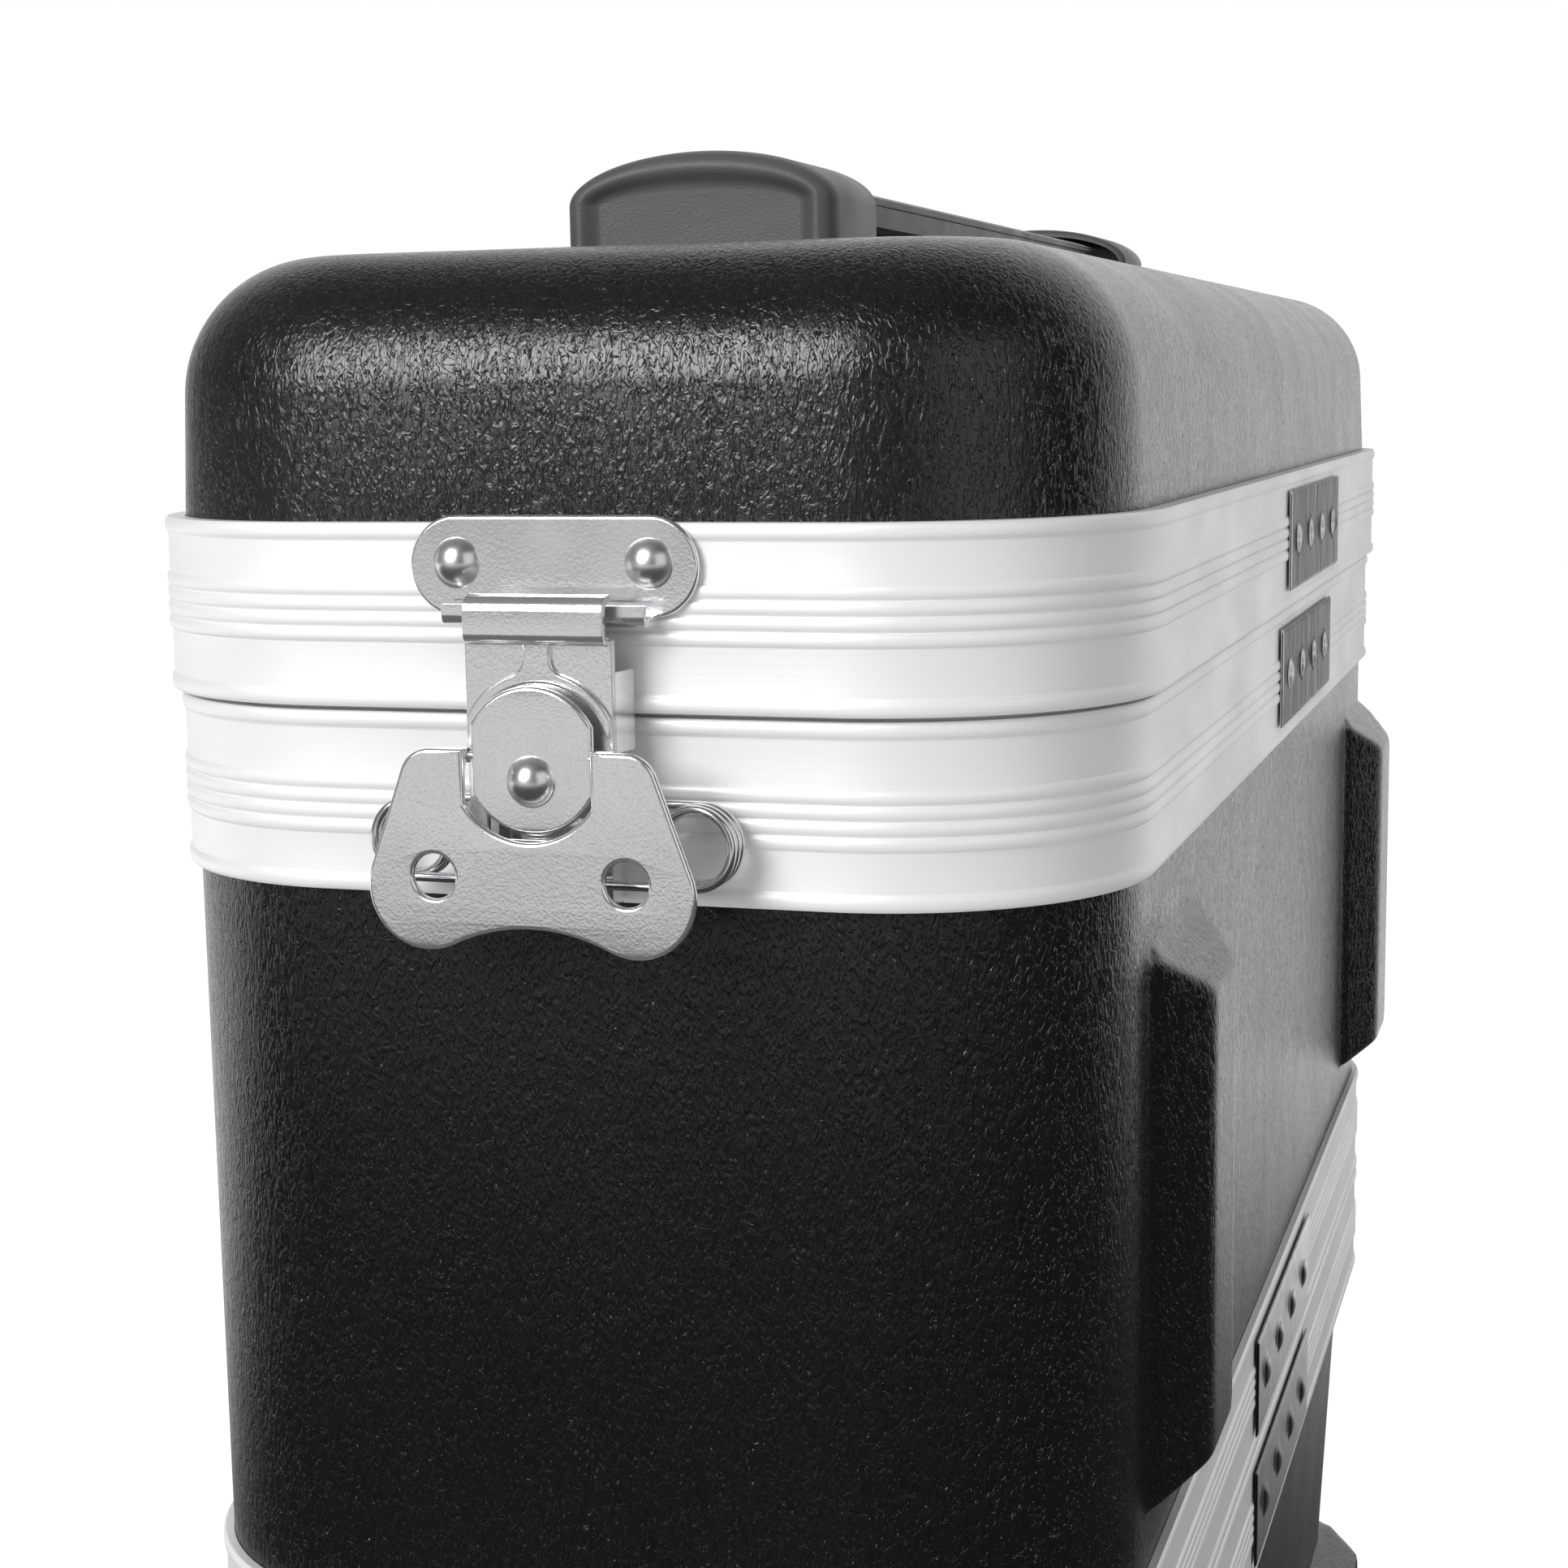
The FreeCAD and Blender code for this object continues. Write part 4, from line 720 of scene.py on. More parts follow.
class CASE_OT_valances(bpy.types.Operator):
    """Aluminium valances: the extruded profile carried round the case"""
    bl_idname = "case.valances"
    bl_label = "Valances"

    def execute(self, context):
        size = sizes()
        rows = (("lid_valance", "lid", size.lid_proud, 0.0, False, UPPER_Z, 1),
                ("body_upper_valance", "body", size.body_proud, 0.0, True, UPPER_Z, -1),
                ("body_lower_valance", "body", size.body_proud, 0.0, True, LOWER_Z, 1),
                ("base_valance", "base", size.body_proud, -size.base_inset, False, LOWER_Z, -1))
        path = walk(long_right=12, long_left=12, short=8, turn=24)
        outline = (size.half_width, size.half_length, size.corner)
        for node, body, proud, shell_in, tongue, parting, up in rows:
            profile = valance_profile(proud, shell_in, tongue)
            points = carry(-profile[:, 0], parting + up * profile[:, 1], path, *outline)
            faces = grid_faces(points.shape[0], points.shape[1], True, True)
            piece = new_piece(node + "_trim", points, faces.tolist(), body, finish("valance"), sharp=38,
                              lengths=outline_lengths(points))
            stand_for(piece, "valance", node)
        return {"FINISHED"}


# Splice plates

PLATE_SHEET = 0.7 * MM
PLATE_ROWS, PLATE_COLS = 169, 40
PLATE_SOFT, PLATE_SOFT_REACH = 0.45 * MM, 0.8 * MM
STAKES, STAKE_PITCH = 4, 27 * MM
STAKE_R, STAKE_RISE, STAKE_POWER = 4.6 * MM, 1.28 * MM, 0.8


def staked_face(low, high):
    """Face of a splice plate: at the distance d from a stake it rises by rise cos(pi d / 2 r)^p, and it falls
    softly to the plate's edge."""
    y = np.linspace(low.y, high.y, PLATE_ROWS)
    z = np.linspace(low.z, high.z, PLATE_COLS)
    yy, zz = np.meshgrid(y, z, indexing="ij")
    mid_y, mid_z = (low.y + high.y) / 2, (low.z + high.z) / 2
    rise = np.zeros_like(yy)
    for k in range(STAKES):
        stake_y = mid_y + (k - (STAKES - 1) / 2) * STAKE_PITCH
        reach = np.minimum(np.hypot(yy - stake_y, zz - mid_z) / STAKE_R, 1)
        rise = np.maximum(rise, np.cos(reach * np.pi / 2) ** STAKE_POWER * STAKE_RISE)
    edge = from_edge(yy, zz, low.yz, high.yz)
    soft = PLATE_SOFT * (1 - np.clip(edge / PLATE_SOFT_REACH, 0, 1)) ** 2
    return np.stack([low.x + PLATE_SHEET + rise - soft, yy, zz], axis=-1)


class CASE_OT_splices(bpy.types.Operator):
    """Splice plates: a thin plate whose face rises in a row of round stakes"""
    bl_idname = "case.splices"
    bl_label = "Splice plates"

    def execute(self, context):
        # Each look paints a reflection of the room into the plate's colour
        for node, body, look in (("lid_splice_plate", "lid", "splice_painted_dark"),
                                 ("body_upper_splice_plate", "body", "splice_painted_dark"),
                                 ("body_lower_splice_plate", "body", "splice"),
                                 ("base_splice_plate", "base", "splice")):
            low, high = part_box(node)
            face = staked_face(low, high)
            back = face.copy()
            back[..., 0] = low.x
            piece = new_piece(node + "_face", *closed_slab(face, back), body, finish(look), sharp=50)
            stand_for(piece, "splice", node)
        return {"FINISHED"}


# Latches: drawn in millimetres across, out from the valance's face and up from the parting

PIVOT_UP = -10.6
PLATE_HALF = 12.0
PLATE_LOW, PLATE_TOP, CHEEK_OUT = -35.0, -2.0, 7.0
SHEET = 1.6
LINK_BACK, LINK_FRONT, LINK_HALF = 9.4, 11.1, 14.5
LINK_LOW, LINK_TOP = -25.05, 14.9
WINDOW_HALF, WINDOW_LOW, WINDOW_TOP = 10.9, -22.05, -6.15
FLANGE_BACK, FLANGE_LOW, FLANGE_TOP, FLANGE_FLARE = 2.6, -6.0, 9.0, 0.9
STRAP_FRONT, STRAP_ARM, STRAP_HALF = 12.1, 2.4, 2.7
STRAP_ENDS, STRAP_FILLET = -2.8, 3.2
HOOK_HALF, HOOK_FRONT, HOOK_TOP = 13.75, 13.6, 23.0
DISC_UP, DISC_R, DISC_FLAT = -6.8, 13.6, 12.0
DISC_BACK, DISC_FRONT = 14.0, 15.8
CAM_UP, CAM_R = -14.1, 7.0
HINGE_OUT, HINGE_UP, HINGE_PIN = 15.0, -6.2, 0.8
BARREL_IN, BARREL_END, BARREL_R = 12.6, 17.0, 1.5
WING_BACK, WING_FRONT, WING_TOP = 16.6, 18.4, -4.6
SHOULDER, SHOULDER_R = 23.5, 6.0
NOTCH_R, NOTCH_X = 14.7, 12.4
LOBE_X, LOBE_UP, LOBE_R, DIP_UP = 20.5, -30.6, 11.7, -37.6
HOLE_X, HOLE_UP, HOLE_R = 18.9, -28.4, 4.2
DOME_R, DOME_H = 4.8, 3.4
RIVET_UP, RIVET_R, RIVET_H = 28.2, 4.75, 3.0
KEEPER_RIVET_X, PLATE_RIVET_X = 19.05, 5.6
KEEPER_HALF, KEEPER_LOW, KEEPER_TOP = 28.6, 18.2, 37.0
LIP_HALF, LIP_FRONT, LIP_TOP, LIP_T = 20.0, 9.0, 21.0, 1.4
COIL_X, COIL_UP, COIL_TURNS, COIL_PITCH, COIL_BACK = 28.4, -23.3, 2.5, 2.35, 2.6
COIL_LEG = 12.15
# A small gap or overlap between faces
PLAY = 0.1
LIP_SEAT, LIP_ROOT = 0.2, 2.4
FLANGE_BEND, FLANGE_DROP, FLANGE_TURN, FLANGE_THIN = 1.0, 1.9, 60, 0.04
STRAP_INSET, STRAP_GAP, STRAP_BACK, STRAP_TOP = 0.3, 0.2, LINK_BACK + 1.2, LINK_TOP - 0.4
HOOK_ROOT, HOOK_LOW, HOOK_BEND, HOOK_ROLL = LINK_BACK + 0.8, LINK_TOP - 0.2, 1.3, 2.3
PIN_ROOT, PIN_PLAY = 1.0, 0.06
ROLL_ROOT, ROLL_TURN = (WING_BACK + 0.2, HINGE_UP - 2.2), (-20, 250)
HOLE_STEPS = 40
PLATE_BEND = 1.0
SHANK_R, SHANK_BACK = 3.0, 0.2
DOME_FOOT, KEEPER_FOOT, PLATE_FOOT = -0.8, -5.0, -3.0
# Roundings of the sheets' edges
KEEPER_EDGE, LIP_EDGE, LINK_EDGE, STRAP_EDGE, HOOK_EDGE, FLANGE_EDGE = 0.7, 0.2, 0.3, 0.45, 0.25, 0.25
DISC_EDGE, WING_EDGE, BARREL_EDGE, PLATE_EDGE, PEG_EDGE = 0.8, 0.85, 0.1, 0.25, 0.3


def placed(points, level, end):
    """Put points of the front latch on one end of the case."""
    face = sizes().half_length + sizes().body_proud
    parting = UPPER_Z if level == "upper" else LOWER_Z
    side = -1.0 if end == "front" else 1.0
    points = points * MM
    x = MID_X - side * points[..., 0]
    y = side * (face + points[..., 1])
    return np.stack([x, y, parting + points[..., 2]], axis=-1)


def put(parts, level, ends):
    """Parts of the front latch, placed on these ends of the case."""
    return [(placed(points, level, end), faces) for end in ends for points, faces in parts]


def upright(loops, back, front, bevel):
    """Flat plate of the latch: outlines in (across, up), thickened from back to front."""
    points, faces = flat_mesh(loops, front - back, bevel)
    return np.stack([points[:, 0], (back + front) / 2 + points[:, 2], points[:, 1]], axis=-1), faces


def across(loops, half, bevel, middle=0.0):
    """Bar of the latch: outlines in (out, up), carried across the latch."""
    points, faces = flat_mesh(loops, 2 * half, bevel)
    return np.stack([middle - points[:, 2], points[:, 0], points[:, 1]], axis=-1), faces


def along_up(loops, low, high, bevel):
    """Channel of the latch: outlines in (across, out), carried upwards."""
    points, faces = flat_mesh(loops, high - low, bevel)
    return np.stack([points[:, 0], points[:, 1], (low + high) / 2 + points[:, 2]], axis=-1), faces


def strip(centre, thick):
    """Closed outline of a bent sheet: its middle line offset by half the thickness to both sides."""
    t = np.gradient(centre, axis=0)
    t /= np.linalg.norm(t, axis=1)[:, None]
    n = np.stack([-t[:, 1], t[:, 0]], axis=-1) * thick / 2
    return np.concatenate([centre + n, (centre - n)[::-1]])


def wing_outline():
    """Butterfly outline of the wing: rounded shoulders, straight flanks that touch the lobes' circles, a
    hollow lower edge whose circle touches both lobes, r = (x^2 + d^2 - R^2) / (2 (R - d)) with d the lobes'
    height above the hollow, and a notch with straight sides round the disc."""
    rise = LOBE_UP - DIP_UP
    dip_r = (LOBE_X ** 2 + rise ** 2 - LOBE_R ** 2) / (2 * (LOBE_R - rise))
    dip_up = DIP_UP - dip_r
    far = math.hypot(LOBE_X - SHOULDER, LOBE_UP - WING_TOP)
    fall = math.atan2(LOBE_UP - WING_TOP, LOBE_X - SHOULDER) + math.asin(LOBE_R / far)
    corner_x = SHOULDER - SHOULDER_R / math.tan((math.pi + fall) / 2)
    turn = math.degrees(fall) + 90
    stop = math.degrees(math.atan2(dip_up - LOBE_UP, -LOBE_X))
    right = np.concatenate([arc(corner_x, WING_TOP - SHOULDER_R, SHOULDER_R, 90, turn, 12),
                            arc(LOBE_X, LOBE_UP, LOBE_R, turn, stop, 44)])
    hollow_a = math.degrees(math.atan2(right[-1][1] - dip_up, right[-1][0]))
    hollow = arc(0, dip_up, dip_r, hollow_a, 180 - hollow_a, 24)[1:-1]
    left = right[::-1] * np.array([-1, 1])
    open_a = math.degrees(math.acos(NOTCH_X / NOTCH_R))
    notch = np.concatenate([[[-NOTCH_X, WING_TOP]], arc(0, DISC_UP, NOTCH_R, 180 + open_a, 360 - open_a, 36),
                            [[NOTCH_X, WING_TOP]]])
    return np.concatenate([right, hollow, left, notch])


def dome_profile(radius, height, foot):
    """Half outline of a domed head: a circle through the rim and the top."""
    ball = (radius ** 2 + height ** 2) / (2 * height)
    a = np.linspace(0, math.asin(min(1.0, radius / ball)), 14)
    return np.r_[np.c_[ball * np.sin(a), height - ball + ball * np.cos(a)], [[radius, foot], [0.0, foot]]]


def heads(places, radius, height, out, foot):
    """Domed heads that face out of the case's end, at places (across, up), on a face that far out."""
    points, faces = revolve(dome_profile(radius, height, foot), 36)
    parts = []
    for x, up in places:
        moved = np.stack([x + points[..., 0], out + points[..., 2], up + points[..., 1]], axis=-1)
        parts.append((moved.reshape(-1, 3), faces.tolist()))
    return parts


def peg_along(x0, x1, out, up, radius):
    """Round pin across the latch, from x0 to x1, with closed ends."""
    points, faces = revolve(np.array([[0, x0], [radius, x0], [radius, x1], [0, x1]]), 20)
    moved = np.stack([points[..., 2], out + points[..., 0], up + points[..., 1]], axis=-1)
    return moved.reshape(-1, 3), faces.tolist()


def peg_out(x, up, radius, back, front):
    """Round peg that points out of the case's end, with a small rounding at its front."""
    profile = np.array([[0, back], [radius, back], [radius, front - PEG_EDGE], [radius - PEG_EDGE, front],
                        [0, front]])
    points, faces = revolve(profile, 36)
    moved = np.stack([x + points[..., 0], points[..., 2], up + points[..., 1]], axis=-1)
    return moved.reshape(-1, 3), faces.tolist()


def keeper_parts(seat):
    """Stadium plate with its lip: the plate's lower edge bends out and the lip's edge curls up."""
    radius = (KEEPER_TOP - KEEPER_LOW) / 2
    middle = (KEEPER_TOP + KEEPER_LOW) / 2
    run = KEEPER_HALF - radius
    plate = np.concatenate([arc(run, middle, radius, -90, 90, 24), arc(-run, middle, radius, 90, 270, 24)])
    bend = SHEET
    inner = seat + LIP_T / 2 + LIP_SEAT
    front = LIP_FRONT - LIP_T / 2
    low = KEEPER_LOW - LIP_T / 2 + bend
    curl = np.concatenate([[[inner, low + LIP_ROOT]], arc(inner + bend, low, bend, 180, 270, 6),
                           arc(front - bend, low, bend, 270, 360, 8), [[front, LIP_TOP - PLAY]]])
    return [upright([plate], seat + PLAY, seat + SHEET, KEEPER_EDGE),
            across([strip(curl, LIP_T)], LIP_HALF, LIP_EDGE)]


def strap_outline():
    """Y-shaped strap: an arch round the cam disc, whose outer circle meets the stem in two fillets."""
    ring = DISC_R + STRAP_ARM
    side_x = LINK_HALF - STRAP_INSET
    side = math.degrees(math.acos(side_x / ring))
    inner = DISC_R + STRAP_GAP
    low = math.degrees(math.asin((STRAP_ENDS - DISC_UP) / inner))
    hub_x = STRAP_HALF + STRAP_FILLET
    hub_up = math.sqrt((ring + STRAP_FILLET) ** 2 - hub_x ** 2)
    lean = math.degrees(math.atan2(hub_up, hub_x))
    half = np.concatenate([[[side_x, STRAP_ENDS]], arc(0, DISC_UP, ring, side, lean, 14),
                           arc(hub_x, DISC_UP + hub_up, STRAP_FILLET, lean + 180, 180, 8),
                           [[STRAP_HALF, STRAP_TOP]]])
    return np.concatenate([half, half[::-1] * np.array([-1, 1]), arc(0, DISC_UP, inner, 180 - low, low, 30)])


def hook_line():
    """Middle line of the hook as (out, up): out from the link's top, up along the front and rolled back."""
    front = HOOK_FRONT - SHEET / 2
    top = HOOK_TOP - SHEET / 2
    return np.concatenate([[[HOOK_ROOT, HOOK_LOW], [LINK_FRONT + PLAY, HOOK_LOW]],
                           arc(front - HOOK_BEND, HOOK_LOW + HOOK_BEND, HOOK_BEND, -90, 0, 6),
                           arc(front - HOOK_ROLL, top - HOOK_ROLL, HOOK_ROLL, 0, 90, 8),
                           [[LINK_BACK + PLAY, top]]])


def link_parts():
    """Windowed plate with bent-back flanges, a raised strap round the cam disc and a rolled hook."""
    sheet = LINK_FRONT - LINK_BACK
    plate = np.array([[-LINK_HALF, LINK_TOP], [-LINK_HALF, LINK_LOW], [LINK_HALF, LINK_LOW],
                      [LINK_HALF, LINK_TOP]])
    window = np.array([[-WINDOW_HALF, WINDOW_LOW], [WINDOW_HALF, WINDOW_LOW], [WINDOW_HALF, WINDOW_TOP],
                       [-WINDOW_HALF, WINDOW_TOP]])
    middle = LINK_HALF - sheet / 2
    bend = arc(middle - FLANGE_BEND, LINK_FRONT - FLANGE_DROP, FLANGE_BEND, 0, FLANGE_TURN, 5)
    flange = np.concatenate([[[middle + FLANGE_FLARE, FLANGE_BACK]], bend])
    parts = [upright([plate, window], LINK_BACK, LINK_FRONT, LINK_EDGE),
             upright([strap_outline()], STRAP_BACK, STRAP_FRONT, STRAP_EDGE),
             across([strip(hook_line(), SHEET)], HOOK_HALF, HOOK_EDGE)]
    for side in (-1, 1):
        bent = strip(flange * np.array([side, 1]), sheet - FLANGE_THIN)
        parts.append(along_up([bent[::side]], FLANGE_LOW, FLANGE_TOP, FLANGE_EDGE))
    return parts


def cam_parts():
    """Flat-sided disc, the eccentric behind it and the two hinge pins."""
    a = math.degrees(math.acos(DISC_FLAT / DISC_R))
    disc = np.concatenate([arc(0, DISC_UP, DISC_R, a, 180 - a, 40),
                           arc(0, DISC_UP, DISC_R, 180 + a, 360 - a, 40)])
    parts = [upright([disc], DISC_BACK, DISC_FRONT, DISC_EDGE),
             peg_out(0, CAM_UP, CAM_R, LINK_BACK, DISC_BACK + PLAY)]
    for side in (-1, 1):
        ends = sorted((side * (DISC_FLAT - PIN_ROOT), side * (BARREL_END - PLAY)))
        parts.append(peg_along(*ends, HINGE_OUT, HINGE_UP, HINGE_PIN))
    return parts


def wing_parts():
    """Butterfly plate with two holes, and a rolled barrel at each shoulder."""
    holes = [arc(x, HOLE_UP, HOLE_R, 0, 360 - 360 / HOLE_STEPS, HOLE_STEPS) for x in (-HOLE_X, HOLE_X)]
    parts = [upright([wing_outline()] + holes, WING_BACK, WING_FRONT, WING_EDGE)]
    wall = BARREL_R - HINGE_PIN - PIN_PLAY
    roll = np.concatenate([[ROLL_ROOT], arc(HINGE_OUT, HINGE_UP, BARREL_R - wall / 2, *ROLL_TURN, 20)])
    for side in (-1, 1):
        middle = side * (BARREL_IN + BARREL_END) / 2
        parts.append(across([strip(roll, wall)], (BARREL_END - BARREL_IN) / 2, BARREL_EDGE, middle))
    return parts


def base_plate_parts():
    """Channel riveted to the valance: a back plate with two cheeks."""
    wall = SHEET - PLAY
    x, back = PLATE_HALF - wall / 2, PLAY + wall / 2
    bend = PLATE_BEND
    channel = np.concatenate([[[-x, CHEEK_OUT]], arc(-x + bend, back + bend, bend, 180, 270, 6),
                              arc(x - bend, back + bend, bend, 270, 360, 6), [[x, CHEEK_OUT]]])
    return [along_up([strip(channel, wall)], PLATE_LOW, PLATE_TOP, PLATE_EDGE)]


def rivet_heads(x, up, out, foot):
    """A pair of rivet heads at the same distance to both sides of the latch's middle."""
    return heads([(-x, up), (x, up)], RIVET_R, RIVET_H, out, foot)


def spring_line():
    """Middle line of the latch spring: (x, z) = centre + r (cos a, sin a) with a falling, the depth growing
    by the pitch each turn on the right coil and falling on the left, joined by a straight run below."""
    r = sizes().coil / MM
    t = np.linspace(0, COIL_TURNS, 150)
    a = np.pi / 2 - 2 * np.pi * t
    right = np.stack([COIL_X + r * np.cos(a), COIL_BACK + COIL_PITCH * t, COIL_UP + r * np.sin(a)], axis=-1)
    left = right[::-1] * np.array([-1, 1, 1])
    first = np.array([[COIL_LEG, COIL_BACK, COIL_UP + r], [(COIL_LEG + COIL_X) / 2, COIL_BACK, COIL_UP + r]])
    run = np.linspace(right[-1], left[0], 12)[1:-1]
    return np.concatenate([first, right, run, left, first[::-1] * np.array([-1, 1, 1])])


class CASE_OT_latches(bpy.types.Operator):
    """Twist latches: keepers, links, cams, pivots, wings, base plates and rivets, made once and placed"""
    bl_idname = "case.latches"
    bl_label = "Twist latches"

    def execute(self, context):
        kinds = {"link": link_parts(), "cam": cam_parts(), "wing": wing_parts(), "plate": base_plate_parts()}
        pivot = heads([(0.0, PIVOT_UP)], DOME_R, DOME_H, DISC_FRONT, DOME_FOOT)
        pivot.append(peg_out(0, PIVOT_UP, SHANK_R, SHANK_BACK, DISC_FRONT))
        for level in LEVELS:
            holder, kept = ("body", "lid") if level == "upper" else ("base", "body")
            seat = (sizes().lid_proud - sizes().body_proud) / MM if level == "upper" else 0.0
            keeper = keeper_parts(seat)
            for end in ENDS:
                tag = end + "_" + level
                for kind, parts in kinds.items():
                    body = holder if kind == "plate" else kind + "_" + tag
                    here = put(parts, level, (end,))
                    piece = stamped_piece("twist_" + kind + "_" + tag, here, body, finish("latch"))
                    stand_for(piece, "latch", "latch_" + kind + "_" + tag)
                here = put(pivot, level, (end,))
                piece = flat_piece("twist_pivot_" + tag, here, "cam_" + tag, finish("rivet"))
                stand_for(piece, "rivet", "latch_pivot_" + tag)
                here = put(keeper, level, (end,))
                piece = stamped_piece("keeper_plate_" + tag, here, kept, finish("latch"))
                stand_for(piece, "latch", "keeper_" + tag)
            both = put(rivet_heads(KEEPER_RIVET_X, RIVET_UP, seat + SHEET, KEEPER_FOOT), level, ENDS)
            piece = flat_piece("keeper_heads_" + level, both, kept, finish("rivet"))
            stand_for(piece, "rivet", "keeper_rivets_" + level)
            both = put(rivet_heads(PLATE_RIVET_X, -RIVET_UP, SHEET, PLATE_FOOT), level, ENDS)
            piece = flat_piece("plate_heads_" + level, both, holder, finish("rivet"))
            stand_for(piece, "rivet", "latch_rivets_" + level)
        return {"FINISHED"}


class CASE_OT_springs(bpy.types.Operator):
    """Latch springs: round wire carried along two coils"""
    bl_idname = "case.springs"
    bl_label = "Latch springs"

    def execute(self, context):
        points, faces, caps = tube(spring_line(), sizes().wire / MM / 2)
        wire = [(points.reshape(-1, 3), faces.tolist() + caps)]
        for level, body in (("upper", "body"), ("lower", "base")):
            both = put(wire, level, ENDS)
            piece = flat_piece("coil_springs_" + level, both, body, finish("spring"), sharp=60)
            stand_for(piece, "spring", "latch_springs_" + level)
        return {"FINISHED"}


# Handle

CAP_HALF = 30 * MM
CAP_SIDE = 11 * MM
CAP_CAVITY = 20 * MM
CAP_LIP = 2.2 * MM
# Sections of an end cap in millimetres, as (set in, back from its front): sunk panel, brow, side
CAP_BROW = ((8.4, 1.9), (7.6, 1.86), (6.8, 1.65), (6.0, 1.2), (5.3, 0.65), (4.6, 0.25), (3.8, 0.05),
            (3.0, 0.1), (2.1, 0.5), (1.3, 1.2), (0.7, 2.2), (0.25, 3.6), (0.0, 5.4))
# The same for the rounded rim of its back, as (set in, forward from its back)
CAP_RIM = ((0.0, 2.0), (0.3, 0.9), (0.9, 0.25), (1.6, 0.0))
GRIP_HALF, GRIP_SIDE, GRIP_EDGE = 20 * MM, 6.4 * MM, 2.2 * MM
GRIP_ARCH, GRIP_TUCK, GRIP_CLEAR = 2.2, 0.4 * MM, 0.4 * MM
SEAM_UP, SEAM_OUT, SEAM_T, SEAM_R = 5.2 * MM, 0.15 * MM, 0.5 * MM, 0.3 * MM
SEAM_IN, SEAM_EDGE = 4 * MM, 0.1 * MM
TANG_HALF, TANG_T, TANG_R, TANG_EDGE = 12 * MM, 4 * MM, 0.8 * MM, 0.5 * MM


def lengthwise(loop, low, high, bevel):
    """Bar along the case: an outline in (across, up), carried from low to high along its length."""
    points, faces = flat_mesh([loop], high - low, bevel)
    return np.stack([MID_X + points[:, 0], (low + high) / 2 - points[:, 2], points[:, 1]], axis=-1), faces


def crowned(half, foot, side, top, steps=40):
    """Outline with an arched top, z = side + (top - side)(1 - |x / half|^p), on a narrower foot."""
    x = np.linspace(half, -half, steps)
    arch = side + (top - side) * (1 - np.abs(x / half) ** GRIP_ARCH)
    sole = half - GRIP_TUCK
    return np.concatenate([[[-sole, foot], [sole, foot]], np.stack([x, arch], axis=-1)])


def cap_ring(inset, y, foot, side, top, steps=56):
    """One section of an end cap, set in by a distance: upright sides from the lid, then half an ellipse
    (x, z) = (h sin a, side + (top - side) cos a); the foot stays on the lid."""
    half = CAP_HALF - inset
    a = np.linspace(np.pi / 2, -np.pi / 2, steps)
    x = np.r_[half, half * np.sin(a), -half]
    z = np.r_[foot, side + (top - inset - side) * np.cos(a), foot]
    return np.stack([MID_X + x, np.full_like(x, y), z], axis=-1)


def end_cap(front, back, foot, side, top):
    """An end cap from its sunk front panel over the rounded brow to the hollow behind, for the tang."""
    way = 1.0 if back > front else -1.0
    rings = [cap_ring(inset * MM, front + way * deep * MM, foot, side, top) for inset, deep in CAP_BROW]
    rings += [cap_ring(inset * MM, back - way * deep * MM, foot, side, top) for inset, deep in CAP_RIM]
    rings += [cap_ring(CAP_LIP, y, foot, side, top) for y in (back, back - way * CAP_CAVITY)]
    points = np.stack(rings)
    rows, cols = points.shape[:2]
    last = (rows - 1) * cols
    faces = grid_faces(rows, cols, False, True).tolist()
    return points.reshape(-1, 3), faces + [list(range(cols)), list(range(last, last + cols))]


class CASE_OT_handle(bpy.types.Operator):
    """Handle: crowned end caps with a sunk panel, and the grip bar between them"""
    bl_idname = "case.handle"
    bl_label = "Carry handle"

    def execute(self, context):
        foot = LID_TOP.z
        for node in ("handle_cap_front", "handle_cap_rear"):
            low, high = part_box(node)
            front, back = (low.y, high.y) if node.endswith("front") else (high.y, low.y)
            cap = end_cap(front, back, foot, foot + CAP_SIDE, high.z)
            piece = flat_piece(node + "_moulding", [cap], "lid", finish("handle"), sharp=55)
            stand_for(piece, "handle", node)
        low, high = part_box("handle_grip")
        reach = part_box("handle_cap_rear")[0].y - GRIP_CLEAR
        bar = lengthwise(crowned(GRIP_HALF, low.z, low.z + GRIP_SIDE, high.z), -reach, reach, GRIP_EDGE)
        tang_loop = rounded_loop(TANG_HALF, TANG_T / 2, TANG_R, 5, 0.0, low.z + TANG_T / 2)
        tang = lengthwise(tang_loop, low.y, high.y, TANG_EDGE)
        seam_loop = rounded_loop(GRIP_HALF + SEAM_OUT, SEAM_T, SEAM_R, 4, 0.0, low.z + SEAM_UP)
        seam = lengthwise(seam_loop, -reach + SEAM_IN, reach - SEAM_IN, SEAM_EDGE)
        piece = flat_piece("grip_bar", [bar, tang], "grip", finish("handle"), sharp=45)
        stand_for(piece, "handle", "handle_grip")
        line = flat_piece("grip_seam", [seam], "grip", finish("handle_panel"), sharp=45)
        return {"FINISHED"}


# Inside and underneath

FOAM_IN, FOAM_CORNER = 0.3 * MM, 43 * MM
BAY_HALF_X, BAY_HALF_Y, BAY_R, BAY_DEEP = 39 * MM, 109 * MM, 8 * MM, 135 * MM
BAY_X, BAY_Y = 46 * MM, -124 * MM
POCKETS, POCKET_PITCH, POCKET_Y = 4, 46 * MM, 124 * MM
POCKET_HALF_X, POCKET_HALF_Y, POCKET_R, POCKET_DEEP = 19 * MM, 112 * MM, 15 * MM, 62 * MM
LAYER_GAP, LAYER_EDGE, FOAM_EDGE = 0.1 * MM, 1.2 * MM, 2 * MM
SHEET_ROWS, SHEET_COLS, SHEET_IN = 130, 42, 0.5 * MM
SHEET_ROUND, SHEET_ROUND_REACH = 3 * MM, 6 * MM
